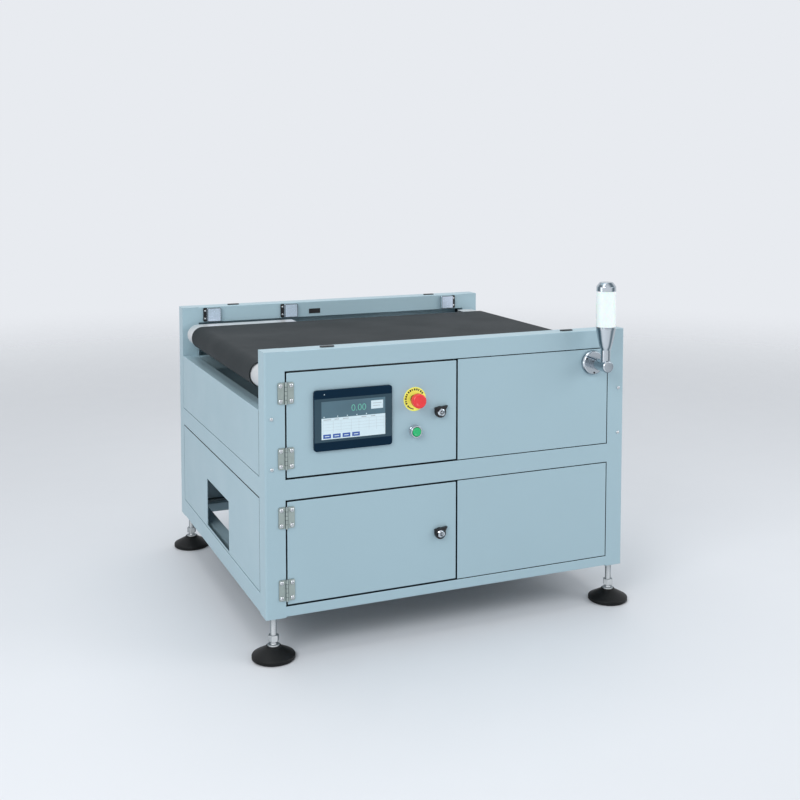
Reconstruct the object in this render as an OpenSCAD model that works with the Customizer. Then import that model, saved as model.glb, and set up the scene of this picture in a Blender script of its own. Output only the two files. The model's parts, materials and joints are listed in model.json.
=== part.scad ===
// Dynamic checkweigher: a belt scale between two guide rails on a sheet metal cabinet.
// X runs along the belt, the control doors face -Y and the feet stand on Z = 0.

/* [Cabinet] */
// Length of the cabinet along the belt
body_l = 1000; // [960:10:1200]
// Width of the cabinet across the belt
body_w = 930; // [920:10:1100]
// Height of the cabinet without its feet
body_h = 645; // [625:5:720]
// Height of the cabinet's underside above the floor
foot_gap = 105; // [98:1:125]
// Side of the square corner posts
post_w = 50; // [46:1:54]
// Wall of the corner posts
post_wall = 3; // [2:0.5:5]
// Outer corner radius of the posts
post_r = 5; // [3:0.5:6]
// Thickness of the plates that close the posts
post_plate = 8; // [5:1:12]
// Wall of all rails
rail_wall = 2.5; // [1.5:0.5:4]
// Height of the two top rails
top_rail_h = 48; // [44:1:54]
// Height of the middle rails
mid_rail_h = 50; // [40:1:60]
// Height of the upper bay, between the middle and the top rails
upper_bay_h = 261; // [255:1:300]
// Height of the front and rear sills
sill_h = 25; // [20:1:40]
// Height of the sills at the two ends
end_sill_h = 48; // [40:1:60]
// Underside of the sills above the posts' underside
sill_lift = 2; // [0:0.5:5]

/* [Sheet metal] */
// Thickness of doors and panels
sheet_t = 2; // [1:0.5:3]
// Depth of the folded edges
flange_d = 20; // [16:1:24]
// Gap around the doors
door_gap = 4; // [3:0.5:6]
// Gap around the fixed panels
panel_gap = 2; // [1:0.5:4]
// X of the joint between the doors and the fixed front panels
door_split = 3; // [-20:1:20]
// Width of the tabs that seat the fixed panels
tab_w = 30; // [20:1:50]
// Width of the window in each lower end panel
window_w = 242; // [160:2:300]
// Height of that window
window_h = 136; // [90:1:160]
// Lower edge of that window above the end sill
window_lift = 8; // [8:1:20]
// Reach of the strike that the lock cams hook behind
strike_w = 33; // [25:1:36]
// Diameter of the screw heads on the posts
screw_d = 9; // [6:0.5:12]
// Lower screws above the cabinet's underside
screw_low = 364; // [300:1:400]
// Upper screws above the cabinet's underside
screw_high = 485; // [420:1:540]

/* [Door hinges] */
// Height of a hinge
hinge_h = 52; // [40:1:60]
// Reach of one leaf from the pin
leaf_w = 20; // [16:1:24]
// Thickness of a leaf
leaf_t = 2; // [1.5:0.5:3]
// Diameter of the knuckles
knuckle_d = 7; // [6.5:0.5:9]
// Corner radius of the leaves
leaf_r = 4; // [2:0.5:6]
// Diameter of the hinge pins
pin_d = 4; // [3:0.5:5]
// Hinge centres from the upper door's edges
upper_hinge_inset = 48; // [36:1:80]
// Hinge centres from the lower door's edges
lower_hinge_inset = 37; // [34:1:80]

/* [Belt conveyor] */
// Belt's edge from the guide rails
belt_inset = 100; // [92:1:140]
// Thickness of the belt
belt_t = 3; // [2:0.5:4]
// Carrying side of the belt below the top of the rails
belt_drop = 46; // [40:1:60]
// Belt nose behind the cabinet's end face
nose_gap = 5; // [2:1:20]
// Diameter inside the belt at the rollers
roller_d = 60; // [54:1:64]
// Diameter of the roller shafts
shaft_d = 20; // [16:1:24]
// Thickness of the side plates
plate_t = 8; // [6:1:10]
// Side plate beside the belt's edge
plate_gap = 5; // [4:0.5:7]
// Thickness of the slider bed
bed_t = 3; // [2:0.5:5]
// Side of the cross ties under the bed
tie_w = 30; // [20:1:36]
// Thickness of the nose covers
cover_t = 2; // [1:0.5:3]
// Width of the nose covers
cover_w = 70; // [64:1:74]
// Length of the covers at the idler end
idler_cover_l = 330; // [120:5:420]
// Length of the covers at the drive end
drive_cover_l = 75; // [60:5:110]
// Diameter of the bearing housings
bearing_d = 46; // [40:1:48]
// Width of the bearing housings
bearing_w = 18; // [14:1:20]

/* [Weighing] */
// Length of a load cell
cell_l = 130; // [110:5:160]
// Width of a load cell and of the beam that carries it
cell_w = 30; // [24:1:32]
// Height of a load cell
cell_h = 26; // [22:1:32]
// Height of the pads above and below a load cell
cell_pad = 5; // [3:1:8]
// Load cells from the middle of the belt
cell_x = 250; // [180:5:300]
// Height of the beams and end rails that carry the conveyor
beam_h = 40; // [30:1:60]
// Thickness of the brackets on the load cells
bracket_t = 6; // [4:1:8]

/* [Drive] */
// Diameter of the motor
motor_d = 78; // [60:1:86]
// Length of the motor
motor_l = 120; // [90:5:160]
// Motor shaft behind the drive roller's axis
motor_back = 132; // [110:2:160]
// Motor shaft below the drive roller's axis
motor_drop = 136; // [126:2:150]
// Teeth of the pulley on the drive roller
drive_teeth = 28; // [24:1:29]
// Teeth of the pulley on the motor
motor_teeth = 20; // [16:1:24]
// Pitch of the pulley teeth
tooth_pitch = 5; // [4.5:0.5:5]
// Width of the toothed belt
strap_w = 14; // [9:1:15]
// Thickness of the toothed belt
strap_t = 2; // [1.5:0.5:2.5]

/* [Controls] */
// Width of the touch panel
hmi_w = 202; // [160:1:230]
// Height of the touch panel
hmi_h = 148; // [120:1:160]
// Touch panel in front of the door
hmi_t = 7; // [4:1:12]
// Depth of the touch panel behind the door
hmi_depth = 38; // [25:1:60]
// Width of the screen
screen_w = 165; // [120:1:180]
// Height of the screen
screen_h = 92; // [80:1:105]
// Share of the free width beside the touch panel that lies at the hinges
hmi_share = 0.665; // [0.4:0.005:0.75]
// Touch panel's centre above the middle of the door
hmi_up = 5; // [-10:1:15]
// Emergency stop from the door's free edge
estop_from_edge = 115; // [105:1:120]
// Emergency stop above the middle of the door
estop_up = 37; // [32:1:60]
// Diameter of the yellow plate
estop_plate_d = 60; // [50:1:66]
// Diameter of the stop button's head
estop_head_d = 36; // [34:1:44]
// Front of the stop button's head in front of the door
estop_out = 34; // [32:1:40]
// Travel of the stop button
estop_stroke = 5; // [3:0.5:6]
// Start button below the middle of the door
button_down = 43; // [38:1:70]
// Diameter of the start button's cap
button_d = 22; // [18:1:24]
// Diameter of the start button's ring
button_ring_d = 31; // [27:1:34]
// Start button's ring in front of the door
button_out = 14; // [8:1:18]
// Travel of the start button
button_stroke = 3; // [2:0.5:4]
// Locks from the door's free edge
lock_from_edge = 47; // [45:1:52]
// Diameter of the lock's plug
lock_d = 18; // [12:1:20]
// Reach of the lock cams
cam_l = 42; // [36:1:46]

/* [Signal lamp] */
// Lamp from the panel's outer edge
lamp_inset = 48; // [40:1:80]
// Lamp arm below the panel's upper edge
lamp_down = 35; // [34:1:60]
// Diameter of the wall flange
lamp_flange_d = 66; // [50:1:68]
// Thickness of the wall flange
lamp_flange_t = 12; // [8:1:16]
// Diameter of the arm
lamp_arm_d = 32; // [28:1:36]
// End of the arm in front of the panel
lamp_reach = 80; // [70:1:110]
// Diameter of the lamp
lamp_d = 51; // [40:1:60]
// Diameter of the lamp's neck
neck_d = 20; // [16:1:24]
// Lower end of the lamp's cone above the arm's axis
neck_h = 38; // [30:1:60]
// Height of the cone
cone_h = 66; // [50:1:90]
// Height of the lens
lens_h = 93; // [60:1:140]
// Height of the cap
cap_h = 23; // [12:1:30]

/* [Guide rail fittings] */
// Width of a reflector
reflector_w = 42; // [30:1:52]
// Height of a reflector
reflector_h = 42; // [30:1:43]
// Depth of a reflector with its bracket
reflector_t = 13; // [8:1:16]
// Width of the bracket's screw tab
reflector_tab = 11; // [8:1:16]
// Length of the plugs on the rails
plug_l = 36; // [20:1:50]
// Width of the plugs on the rails
plug_w = 14; // [10:1:20]
// Plugs from the middle of the rails
plug_x = 335; // [250:5:380]
// Middle of the left reflector from the left posts
reflector_left = 46; // [40:1:80]
// Middle of the second reflector from the middle of the rail
reflector_mid = 157; // [120:1:200]
// Middle of the right reflector from the right posts
reflector_right = 62; // [50:1:90]
// Width of the light heads
sensor_w = 20; // [14:1:26]
// Height of the light heads
sensor_h = 34; // [24:1:40]
// Width of the small window in the rear rail
slot_w = 37; // [20:1:50]
// Height of that window
slot_h = 15; // [8:1:20]

/* [Feet] */
// Diameter of the foot studs
stud_d = 16; // [12:1:20]
// Diameter of the foot pads
pad_d = 106; // [80:1:120]
// Height of the foot pads
pad_h = 33; // [25:1:36]
// Height of the rim of the foot pads
pad_rim = 11; // [6:1:14]
// Width across the flats of the studs' hexagon
hex_w = 24; // [22:1:30]
// Height of the studs' hexagon
hex_h = 15; // [8:1:18]
// Stud above the cabinet's underside
stud_up = 70; // [50:1:100]

/* [Hidden] */
$fn = 64;

// Clearances: a turning or sliding fit, and faces that pass each other
fit = 0.05;
pass = 0.3;

// Frame: faces of the cabinet and of the bay between its posts
end_x = body_l / 2;
rear_y = body_w / 2;
front_y = -rear_y;
post_x = end_x - post_w / 2;
post_y = rear_y - post_w / 2;
bay_x = end_x - post_w;
bay_y = rear_y - post_w;
frame_z = foot_gap;
frame_top = foot_gap + body_h;
top_z = frame_top - top_rail_h;
mid_top = top_z - upper_bay_h;
mid_z = mid_top - mid_rail_h;
sill_z = frame_z + sill_lift;
sill_top = sill_z + sill_h;
end_sill_top = sill_z + end_sill_h;

// Doors and fixed front panels: X edges, then Z edges as [lower, upper]
door_x = [-bay_x + door_gap, door_split - door_gap / 2];
panel_x = [door_split + door_gap / 2, bay_x - panel_gap];
upper_bay = [mid_top, top_z];
lower_bay = [sill_top, mid_z];
hinge_x = -bay_x + door_gap / 2;
hinge_y = front_y - knuckle_d / 2;
knuckles = 5;
lip_gap = 1;
tab_set = 2;
screw_h = 2.3;
screw_rim = 1.5;
shelf_gap = 2;
shelf_back = 5;
shelf_end = 10;
cable_hole_d = 50;
strike_y = front_y + flange_d + lip_gap;

// Conveyor: everything hangs on the roller axis
belt_w = 2 * (bay_y - belt_inset);
belt_z = frame_top - belt_drop;
roller_r = roller_d / 2;
axis_z = belt_z - belt_t - roller_r;
axis_x = end_x - nose_gap - belt_t - roller_r;
plate_y = belt_w / 2 + plate_gap;
plate_out = plate_y + plate_t;
plate_r = roller_r - cover_t;
cover_y = [plate_y, belt_w / 2 + cover_w];
bracket_z = axis_z - plate_r - bracket_t;
bracket_w = 60;
bracket_over = 5;
cell_reach = cell_l / 2 - bracket_w / 2 + bracket_over;
cell_end = 40;
cell_web = 4;
beam_top = bracket_z - cell_h - 2 * cell_pad;
beam_gap = 2;
beam_y = [bay_y - beam_gap - cell_w, bay_y - beam_gap];
end_rail_w = 40;
shaft_room = 3;
bed_gap = 2;
bearing_foot = 4;
bearing_step = 3;
shaft_end = 1;
groove_d = 4;

// Drive: pulley radii from their teeth
drive_r = drive_teeth * tooth_pitch / (2 * PI);
motor_r = motor_teeth * tooth_pitch / (2 * PI);
tooth_r = 0.3 * tooth_pitch;
strap_gap = 3;
strap_y = plate_out + bearing_w + strap_gap;
pulley_rim = 1;
strap_room = 1;
pulley_w = strap_w + 2 * strap_room + 2 * pulley_rim;
motor_at = [axis_x - motor_back, axis_z - motor_drop];
motor_shaft_d = 14;
motor_face = 10;
motor_face_r = 8;
motor_cap_l = 20;
motor_cap_step = 7;
fin_d = 6;
fin_gap = 3;
hanger_rim = 4;
hub_room = 5;

// Motor drive and controller on the shelf: middle of the front edge, then sizes
inverter_x = 105;
inverter_y = -120;
inverter_w = 90;
inverter_d = 130;
inverter_h = 120;
ear_w = 8;
ear_t = 4;
ear_y = 110;
vent_pitch = 14;
vent_h = 5;
vent_d = 4;
vent_l = 80;
vent_start = 20;
vent_y = 12;
control_x = -170;
control_y = -80;
control_w = 180;
control_d = 70;
control_h = 95;
terminal_w = 160;
terminal_d = 14;
terminal_h = 24;
terminal_z = 10;
terminal_pitch = 16;
terminal_slot = 10;
terminal_rim = 5;
terminal_cut = 8;

// Gland in the upper rear panel
gland_d = 20;
gland_bore = 10;
gland_hex_d = 28;
gland_hex_h = 5;
gland_cap_d = 24;
gland_cap_l = 18;
gland_cap_r = 4;
gland_nut_h = 6;
gland_end = 2;
gland_up = 60;
gland_in = 150;
gland_at = [bay_x - gland_in, mid_top + gland_up];

// Controls on the upper door
upper_door_z = mean_of(door_z(upper_bay));
lower_door_z = mean_of(door_z(lower_bay));
switch_x = door_x[1] - estop_from_edge;
hmi_room = switch_x - estop_plate_d / 2 - door_x[0];
hmi_x = door_x[0] + hmi_share * (hmi_room - hmi_w) + hmi_w / 2;
hmi_z = upper_door_z + hmi_up;
hmi_lip = 6;
hmi_r = 7;
hmi_slack = 1;
hmi_vent = 5;
hmi_vent_d = 4;
hmi_vent_pitch = 12;
hmi_vent_reach = 60;
screen_r = 1;
screen_sunk = 0.3;
glass_t = 1.5;
estop_z = upper_door_z + estop_up;
button_z = upper_door_z - button_down;
lock_x = door_x[1] - lock_from_edge;
collar_d = 24;
collar_play = 1;
plate_out_t = 1;
barrel_d = 22;
barrel_l = 16;
block_w = 30;
block_h = 40;
block_r = 2;
block_near = 12;
block_far = 46;
stem_d = 12;
stem_rim = 5;
stem_rim_t = 4;
stem_in_head = 8;
head_t = 19;
head_dish = 1.5;
head_y = front_y - estop_out + head_t;
collar_out = estop_out - head_t - stem_rim_t - estop_stroke - collar_play;
ring_floor = 1.5;
cap_lift = 1;
cap_edge = 1.5;
cap_l = button_out - ring_floor - cap_lift - pass;
lock_out = 10;
lock_ring_d = 28;
lock_barrel_l = 14;
plug_out = 5;
pull_l = 20;
pull_tip = 15;
pull_low = 4;
pull_cut = 6;
pull_corner = 11;
pull_step = 2;
key_w = 2;
key_h = 10;
key_d = 4;
cam_t = 3;
cam_w = 16;
cam_rim = 2;
cam_gap = 0.5;
cam_y = strike_y + sheet_t + cam_gap;

// Lamp
lamp_x = panel_x[1] - lamp_inset;
lamp_z = top_z - panel_gap - lamp_down;
lamp_y = front_y - lamp_reach + lamp_arm_d / 2;
spigot_d = 20;
spigot_floor = 1;
flange_r = 4;
arm_r = 3;
arm_heel_r = 1.5;
flare_share = 0.82;
flare_power = 1.4;
flare_steps = 10;
lens_wall = 2.5;
cap_r = 9;

// Guide rail fittings: middle of each reflector and the side of its screw tab
reflector_places = [[-bay_x + reflector_left, -1], [-reflector_mid, -1], [bay_x - reflector_right, 1]];
reflector_plate = 3;
reflector_r = 3;
reflector_z = top_z + (top_rail_h - reflector_h) / 2;
sensor_r = 2;
eye_d = 10;
eye_out = 1.5;
eye_pitch = 14;
plug_h = 2.5;
slot_x = -76;
slot_up = 18;
slot_out = 1.5;

// Feet
neck_gap = 10;
neck_step = 2;
foot_flange = 3;
pad_r = 3;
pad_collar = 6;
hex_z = pad_h + neck_gap;

// The lamp reaches further forward than the feet reach back
front_reach = body_w / 2 + max(lamp_reach, lamp_reach - lamp_arm_d / 2 + lamp_d / 2);
rear_reach = post_y + pad_d / 2;
depth_shift = (front_reach - rear_reach) / 2;

// Colours
paint = [0.65, 0.76, 0.82];
steel = [0.75, 0.77, 0.79];
zinc = [0.62, 0.64, 0.66];
black = [0.13, 0.13, 0.14];
rubber = [0.16, 0.16, 0.16];

function mean_of(span) = (span[0] + span[1]) / 2;
function door_z(bay) = [bay[0] + door_gap, bay[1] - door_gap];
function panel_z(bay) = [bay[0] + panel_gap, bay[1] - panel_gap];

// Puts the middle of the whole machine's footprint on the origin
module place() translate([0, depth_shift, 0]) children();

// Block between two corners
module block(low, high) translate(low) cube(high - low);

// Profile drawn in X and Z, between two values of Y
module across(y0, y1) translate([0, y1, 0]) rotate([90, 0, 0]) linear_extrude(y1 - y0) children();

// Round bar along Y through a point in X and Z
module rod(at, d, y0, y1) across(y0, y1) translate(at) circle(d = d);

module rounded_rect(w, h, r) {
    square([w - 2 * r, h], center = true);
    square([w, h - 2 * r], center = true);
    for (x = [-1, 1], y = [-1, 1])
        translate([x * (w / 2 - r), y * (h / 2 - r)]) circle(r);
}

module tube_x(low, high, wall) difference() {
    block(low, high);
    block(low + [-1, wall, wall], high + [1, -wall, -wall]);
}

module tube_y(low, high, wall) difference() {
    block(low, high);
    block(low + [wall, -1, wall], high + [-wall, 1, -wall]);
}

// Copies for both signs of X or of Y
module both_ends() for (s = [0, 1]) mirror([s, 0, 0]) children();
module both_sides() for (s = [0, 1]) mirror([0, s, 0]) children();

// Sheet in X and Z with its four edges folded towards +Y
module pan(w, h) difference() {
    cube([w, flange_d, h]);
    block([sheet_t, sheet_t, sheet_t], [w - sheet_t, flange_d + 1, h - sheet_t]);
}

// Tabs on a fixed panel that bridge its gap to the rails above and below
module tabs(w, rows) for (x = [w / 4, 3 * w / 4], z = rows)
    translate([x - tab_w / 2, sheet_t + tab_set, z])
        cube([tab_w, flange_d - sheet_t - tab_set, panel_gap]);

// Fixed panel in a bay, with its tabs
module fixed_panel(w, h) {
    pan(w, h);
    tabs(w, [-panel_gap, h]);
}

// Outline round two circles and the straight runs between them
module loop_outline(p, q, rp, rq) {
    d = norm(q - p);
    turn = atan2(q.y - p.y, q.x - p.x);
    lean = acos((rp - rq) / d);
    rim = [for (s = [-1, 1]) [cos(turn + s * lean), sin(turn + s * lean)]];
    translate(p) circle(rp);
    translate(q) circle(rq);
    polygon([p + rp * rim[0], q + rq * rim[0], q + rq * rim[1], p + rp * rim[1]]);
}

// Quarter arc of points from angle a to angle b
function arc(c, r, a, b, n = 8) = [
    for (i = [0:n]) let (turn = a + (b - a) * i / n) c + r * [cos(turn), sin(turn)]
];

// Section of a post: round at its outer corner, ground flush where the rails are welded to it
module post_outline() {
    straight = post_w - post_r;
    translate([-post_w / 2, -post_w / 2]) {
        square([straight, post_w]);
        square([post_w, straight]);
        translate([straight, straight]) circle(post_r);
    }
}

module corner_posts() color(paint) both_ends() both_sides()
    translate([post_x, post_y, frame_z]) difference() {
        linear_extrude(body_h) post_outline();
        translate([0, 0, post_plate]) linear_extrude(body_h - 2 * post_plate)
            square(post_w - 2 * post_wall, center = true);
        translate([0, 0, -1]) cylinder(d = stud_d + 2 * fit, h = post_plate + 2);
    }

module frame_rails() color(paint) {
    both_sides() {
        tube_x([-bay_x, bay_y, sill_z], [bay_x, rear_y, sill_top], rail_wall);
        tube_x([-bay_x, bay_y, mid_z], [bay_x, rear_y, mid_top], rail_wall);
    }
    both_ends() {
        tube_y([bay_x, -bay_y, sill_z], [end_x, bay_y, end_sill_top], rail_wall);
        tube_y([bay_x, -bay_y, mid_z], [end_x, bay_y, mid_top], rail_wall);
    }
}

module top_rails() color(paint)
    both_sides() tube_x([-bay_x, bay_y, top_z], [bay_x, rear_y, frame_top], rail_wall);

// End rails between the posts, and the two beams that carry the load cells
module support_rails() color(paint) {
    rail_x = [end_x - sheet_t - end_rail_w, end_x - sheet_t];
    z = [beam_top - beam_h, beam_top];
    both_ends() tube_y([rail_x[0], -bay_y, z[0]], [rail_x[1], bay_y, z[1]], rail_wall);
    both_sides() tube_x([-rail_x[0], beam_y[0], z[0]], [rail_x[0], beam_y[1], z[1]], rail_wall);
}

module mid_shelf() color(zinc) translate([0, 0, mid_top]) linear_extrude(sheet_t) difference() {
    union() {
        square([2 * (bay_x - shelf_gap), 2 * (rear_y - flange_d - shelf_back)], center = true);
        square([2 * (end_x - flange_d - shelf_end), 2 * (bay_y - shelf_gap)], center = true);
    }
    for (x = [-1, 1]) translate([x * bay_x / 2, bay_y / 2]) circle(d = cable_hole_d);
}

// Panels close the two ends; the upper ones hook over the end rails
module upper_end_panels() color(paint) both_ends() {
    w = 2 * (bay_y - panel_gap);
    z0 = mid_top + panel_gap;
    h = beam_top + sheet_t - z0;
    translate([-end_x, w / 2, z0]) rotate([0, 0, -90]) {
        difference() {
            cube([w, flange_d, h]);
            block([sheet_t, sheet_t, sheet_t], [w - sheet_t, flange_d + 1, h - sheet_t]);
            block([-1, sheet_t, h - sheet_t - beam_h], [w + 1, flange_d + 1, h - sheet_t]);
        }
        tabs(w, [-panel_gap]);
    }
}

module lower_end_panels() color(paint) both_ends() {
    w = 2 * (bay_y - panel_gap);
    z0 = end_sill_top + panel_gap;
    h = mid_z - panel_gap - z0;
    translate([-end_x, w / 2, z0]) rotate([0, 0, -90]) difference() {
        fixed_panel(w, h);
        translate([(w - window_w) / 2, -1, window_lift - panel_gap])
            cube([window_w, sheet_t + 2, window_h]);
    }
}

// Fixed front panels; the folded edge beside the doors ends in the strike
module front_panels() color(paint) for (bay = [upper_bay, lower_bay]) {
    span = panel_z(bay);
    h = span[1] - span[0];
    translate([panel_x[0], front_y, span[0]]) {
        fixed_panel(panel_x[1] - panel_x[0], h);
        block([0, flange_d - 1, 0], [sheet_t, flange_d + lip_gap + sheet_t, h]);
        block([-strike_w, flange_d + lip_gap, 0], [sheet_t, flange_d + lip_gap + sheet_t, h]);
    }
}

module rear_panels() color(paint) for (bay = [upper_bay, lower_bay]) {
    span = panel_z(bay);
    w = 2 * (bay_x - panel_gap);
    mirror([0, 1, 0]) translate([-w / 2, front_y, span[0]]) difference() {
        fixed_panel(w, span[1] - span[0]);
        if (bay == upper_bay) gland_hole(w / 2);
    }
}

// Hole for the gland, in the frame of a rear panel
module gland_hole(middle) translate([middle + gland_at[0], -1, gland_at[1] - panel_z(upper_bay)[0]])
    rotate([-90, 0, 0]) cylinder(d = gland_d + 2 * fit, h = sheet_t + 2);

// One leaf with every second knuckle; side is -1 on the post and 1 on the door
module hinge_leaf(side, first) {
    row = hinge_h / knuckles;
    near = knuckle_d / 2 + 2 * pass;
    difference() {
        union() {
            mirror([side < 0 ? 1 : 0, 0, 0]) across(-leaf_t, 0) leaf_outline(near);
            for (i = [first : 2 : knuckles - 1]) translate([0, 0, i * row + pass / 2]) {
                translate([0, -knuckle_d / 2, 0]) cylinder(d = knuckle_d, h = row - pass);
                block([min(0, side * near), -leaf_t, 0], [max(0, side * near), 0, row - pass]);
            }
        }
        translate([0, -knuckle_d / 2, -1]) cylinder(d = pin_d + 2 * fit, h = hinge_h + 2);
    }
}

// Flat part of a leaf, round at its two outer corners
module leaf_outline(near) {
    straight = leaf_w - leaf_r;
    translate([near, 0]) square([straight - near, hinge_h]);
    translate([straight, leaf_r]) square([leaf_r, hinge_h - 2 * leaf_r]);
    for (z = [leaf_r, hinge_h - leaf_r]) translate([straight, z]) circle(leaf_r);
}

// Lower ends of the two hinges of a door
function hinge_rows(bay, inset) = [
    door_z(bay)[0] + inset - hinge_h / 2,
    door_z(bay)[1] - inset - hinge_h / 2
];
function all_hinge_rows() = concat(
    hinge_rows(upper_bay, upper_hinge_inset),
    hinge_rows(lower_bay, lower_hinge_inset)
);

module hinge_frame_leaves() color(zinc) for (z = all_hinge_rows())
    translate([hinge_x, front_y, z]) hinge_leaf(-1, 0);

module hinge_pins() color(steel) for (z = all_hinge_rows())
    translate([hinge_x, hinge_y, z - 1]) cylinder(d = pin_d, h = hinge_h + 2);

module upper_hinge_leaves() color(zinc) for (z = hinge_rows(upper_bay, upper_hinge_inset))
    translate([hinge_x, front_y, z]) hinge_leaf(1, 1);

module lower_hinge_leaves() color(zinc) for (z = hinge_rows(lower_bay, lower_hinge_inset))
    translate([hinge_x, front_y, z]) hinge_leaf(1, 1);

module panel_screws() color(zinc) both_sides() both_ends() for (z = [screw_low, screw_high])
    translate([end_x - post_w / 3, front_y, frame_z + z]) rotate([90, 0, 0]) screw_head();

// Low head with a rounded rim
module screw_head() rotate_extrude() polygon(concat(
    [[0, 0], [screw_d / 2, 0]],
    arc([screw_d / 2 - screw_rim, screw_h - screw_rim], screw_rim, 0, 90),
    [[0, screw_h]]));

module reflectors() color([0.78, 0.8, 0.83]) for (p = reflector_places)
    translate([p[0], 0, reflector_z + reflector_h / 2])
        across(bay_y - reflector_t, bay_y - reflector_plate)
            rounded_rect(reflector_w, reflector_h, reflector_r);

module reflector_brackets() color(black) for (p = reflector_places) {
    w = reflector_w + reflector_tab;
    translate([p[0] + p[1] * reflector_tab / 2, 0, reflector_z + reflector_h / 2])
        across(bay_y - reflector_plate, bay_y) rounded_rect(w, reflector_h, reflector_r);
}

// Light heads on the front rail, facing the reflectors
module photo_sensors() color(black) for (p = reflector_places)
    translate([p[0], -bay_y, top_z + top_rail_h / 2]) {
        rotate([-90, 0, 0]) linear_extrude(reflector_t) rounded_rect(sensor_w, sensor_h, sensor_r);
        for (z = [-1, 1]) translate([0, reflector_t, z * eye_pitch / 2]) rotate([-90, 0, 0])
            cylinder(d = eye_d, h = eye_out);
    }

module rail_plugs() color(black) {
    for (x = [-1, 1], y = [-1, 1]) translate([x * plug_x, y * post_y, frame_top])
        linear_extrude(plug_h) rounded_rect(plug_l, plug_w, plug_w / 2 - 1);
    translate([slot_x, 0, top_z + slot_up]) across(bay_y - slot_out, bay_y)
        rounded_rect(slot_w, slot_h, slot_out);
}

// Bending beam cell along X: held at its outer end, loaded at its inner end
module load_cell() {
    hole_d = cell_h * 0.6;
    difference() {
        translate([-cell_l / 2, 0, cell_pad]) cube([cell_l, cell_w, cell_h]);
        for (x = [-1, 1]) translate([x * hole_d * 0.7, -1, cell_pad + cell_h / 2])
            rotate([-90, 0, 0]) cylinder(d = hole_d, h = cell_w + 2);
        translate([-hole_d * 0.7, -1, cell_pad + cell_h / 2 - cell_web / 2])
            cube([hole_d * 1.4, cell_w + 2, cell_web]);
    }
    translate([cell_l / 2 - cell_end, 0, 0]) cube([cell_end, cell_w, cell_pad]);
    translate([-cell_l / 2, 0, cell_pad + cell_h]) cube([cell_end, cell_w, cell_pad]);
}

module load_cells() color(zinc) both_ends() both_sides()
    translate([cell_x, beam_y[0], beam_top]) load_cell();

// Side plates with their load cell brackets and the motor's hanger, and the ties between them
module conveyor_frame() color(steel) {
    both_sides() side_plate();
    hanger();
    for (x = [-3, -1, 1, 3])
        tube_y([x * axis_x / 4 - tie_w / 2, -plate_y, belt_z - belt_t - bed_t - tie_w],
               [x * axis_x / 4 + tie_w / 2, plate_y, belt_z - belt_t - bed_t], rail_wall);
}

module side_plate() {
    across(plate_y, plate_out) difference() {
        union() {
            translate([-axis_x, axis_z - plate_r]) square([2 * axis_x, 2 * plate_r]);
            for (x = [-axis_x, axis_x]) translate([x, axis_z]) circle(plate_r - pass);
        }
        for (x = [-axis_x, axis_x]) translate([x, axis_z]) circle(shaft_d / 2 + shaft_room);
    }
    bracket_x = cell_x - cell_reach;
    both_ends() block([bracket_x - bracket_w / 2, plate_y, bracket_z],
                      [bracket_x + bracket_w / 2, beam_y[1], bracket_z + bracket_t]);
}

module hanger() across(plate_y, plate_out) difference() {
    reach = motor_d / 2 + hanger_rim;
    translate([motor_at[0] - reach, motor_at[1] - reach]) square([2 * reach, motor_drop - plate_r + reach]);
    translate(motor_at) circle(motor_r + hub_room);
}

module slider_bed() color(steel) {
    reach = axis_x - roller_r - bed_gap;
    half = plate_y - pass;
    block([-reach, -half, belt_z - belt_t - bed_t], [reach, half, belt_z - belt_t]);
}

// Round-nosed cover over the end of a side plate; nose points to +X
module nose_cover(cover_l, skirt) {
    low = axis_z - skirt;
    x0 = axis_x + roller_r - cover_l;
    difference() {
        across(cover_y[0], cover_y[1]) cover_outline(x0, roller_r, low);
        across(cover_y[0] - 1, cover_y[1] - cover_t)
            cover_outline(x0 - 1, roller_r - cover_t, low - 1);
    }
}

// Flat top and round nose, cut off level at its lower edge
module cover_outline(x0, r, low) intersection() {
    union() {
        translate([x0, axis_z - r]) square([axis_x - x0, 2 * r]);
        translate([axis_x, axis_z]) circle(r);
    }
    translate([x0, low]) square([axis_x + r - x0, axis_z + r - low]);
}

module nose_covers() color(steel) {
    full = plate_r - 1;
    for (y = [0, 1]) mirror([0, y, 0]) mirror([1, 0, 0]) nose_cover(idler_cover_l, full);
    mirror([0, 1, 0]) nose_cover(drive_cover_l, full);
    nose_cover(drive_cover_l, roller_r / 2);
}

module bearing_blocks() color(zinc) both_ends() both_sides() difference() {
    union() {
        rod([axis_x, axis_z], bearing_d, plate_out, plate_out + bearing_w);
        rod([axis_x, axis_z], min(bearing_d + 2 * bearing_step, 2 * plate_r - 1),
            plate_out, plate_out + bearing_foot);
    }
    rod([axis_x, axis_z], shaft_d + 2 * fit, plate_out - 1, plate_out + bearing_w + 1);
}

module belt() color([0.29, 0.31, 0.33]) across(-belt_w / 2, belt_w / 2) difference() {
    loop_outline([-axis_x, axis_z], [axis_x, axis_z], roller_r + belt_t, roller_r + belt_t);
    loop_outline([-axis_x, axis_z], [axis_x, axis_z], roller_r, roller_r);
}

// Drum with a round groove near each end, on its shaft; ends as [front, rear] in Y
module roller(x, ends) {
    half = belt_w / 2 - 1;
    r = roller_r - pass;
    translate([x, 0, axis_z]) rotate([90, 0, 0]) rotate_extrude() difference() {
        translate([0, -half]) square([r, 2 * half]);
        for (y = [-1, 1]) translate([r, y * (half - 3 * groove_d)]) circle(d = groove_d);
    }
    rod([x, axis_z], shaft_d, ends[0], ends[1]);
}

module drive_roller() color(zinc)
    roller(axis_x, [-plate_out - bearing_w - shaft_end, strap_y + pulley_w + shaft_end]);

module idler_roller() color(zinc)
    roller(-axis_x, [-plate_out - bearing_w - shaft_end, plate_out + bearing_w + shaft_end]);

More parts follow.
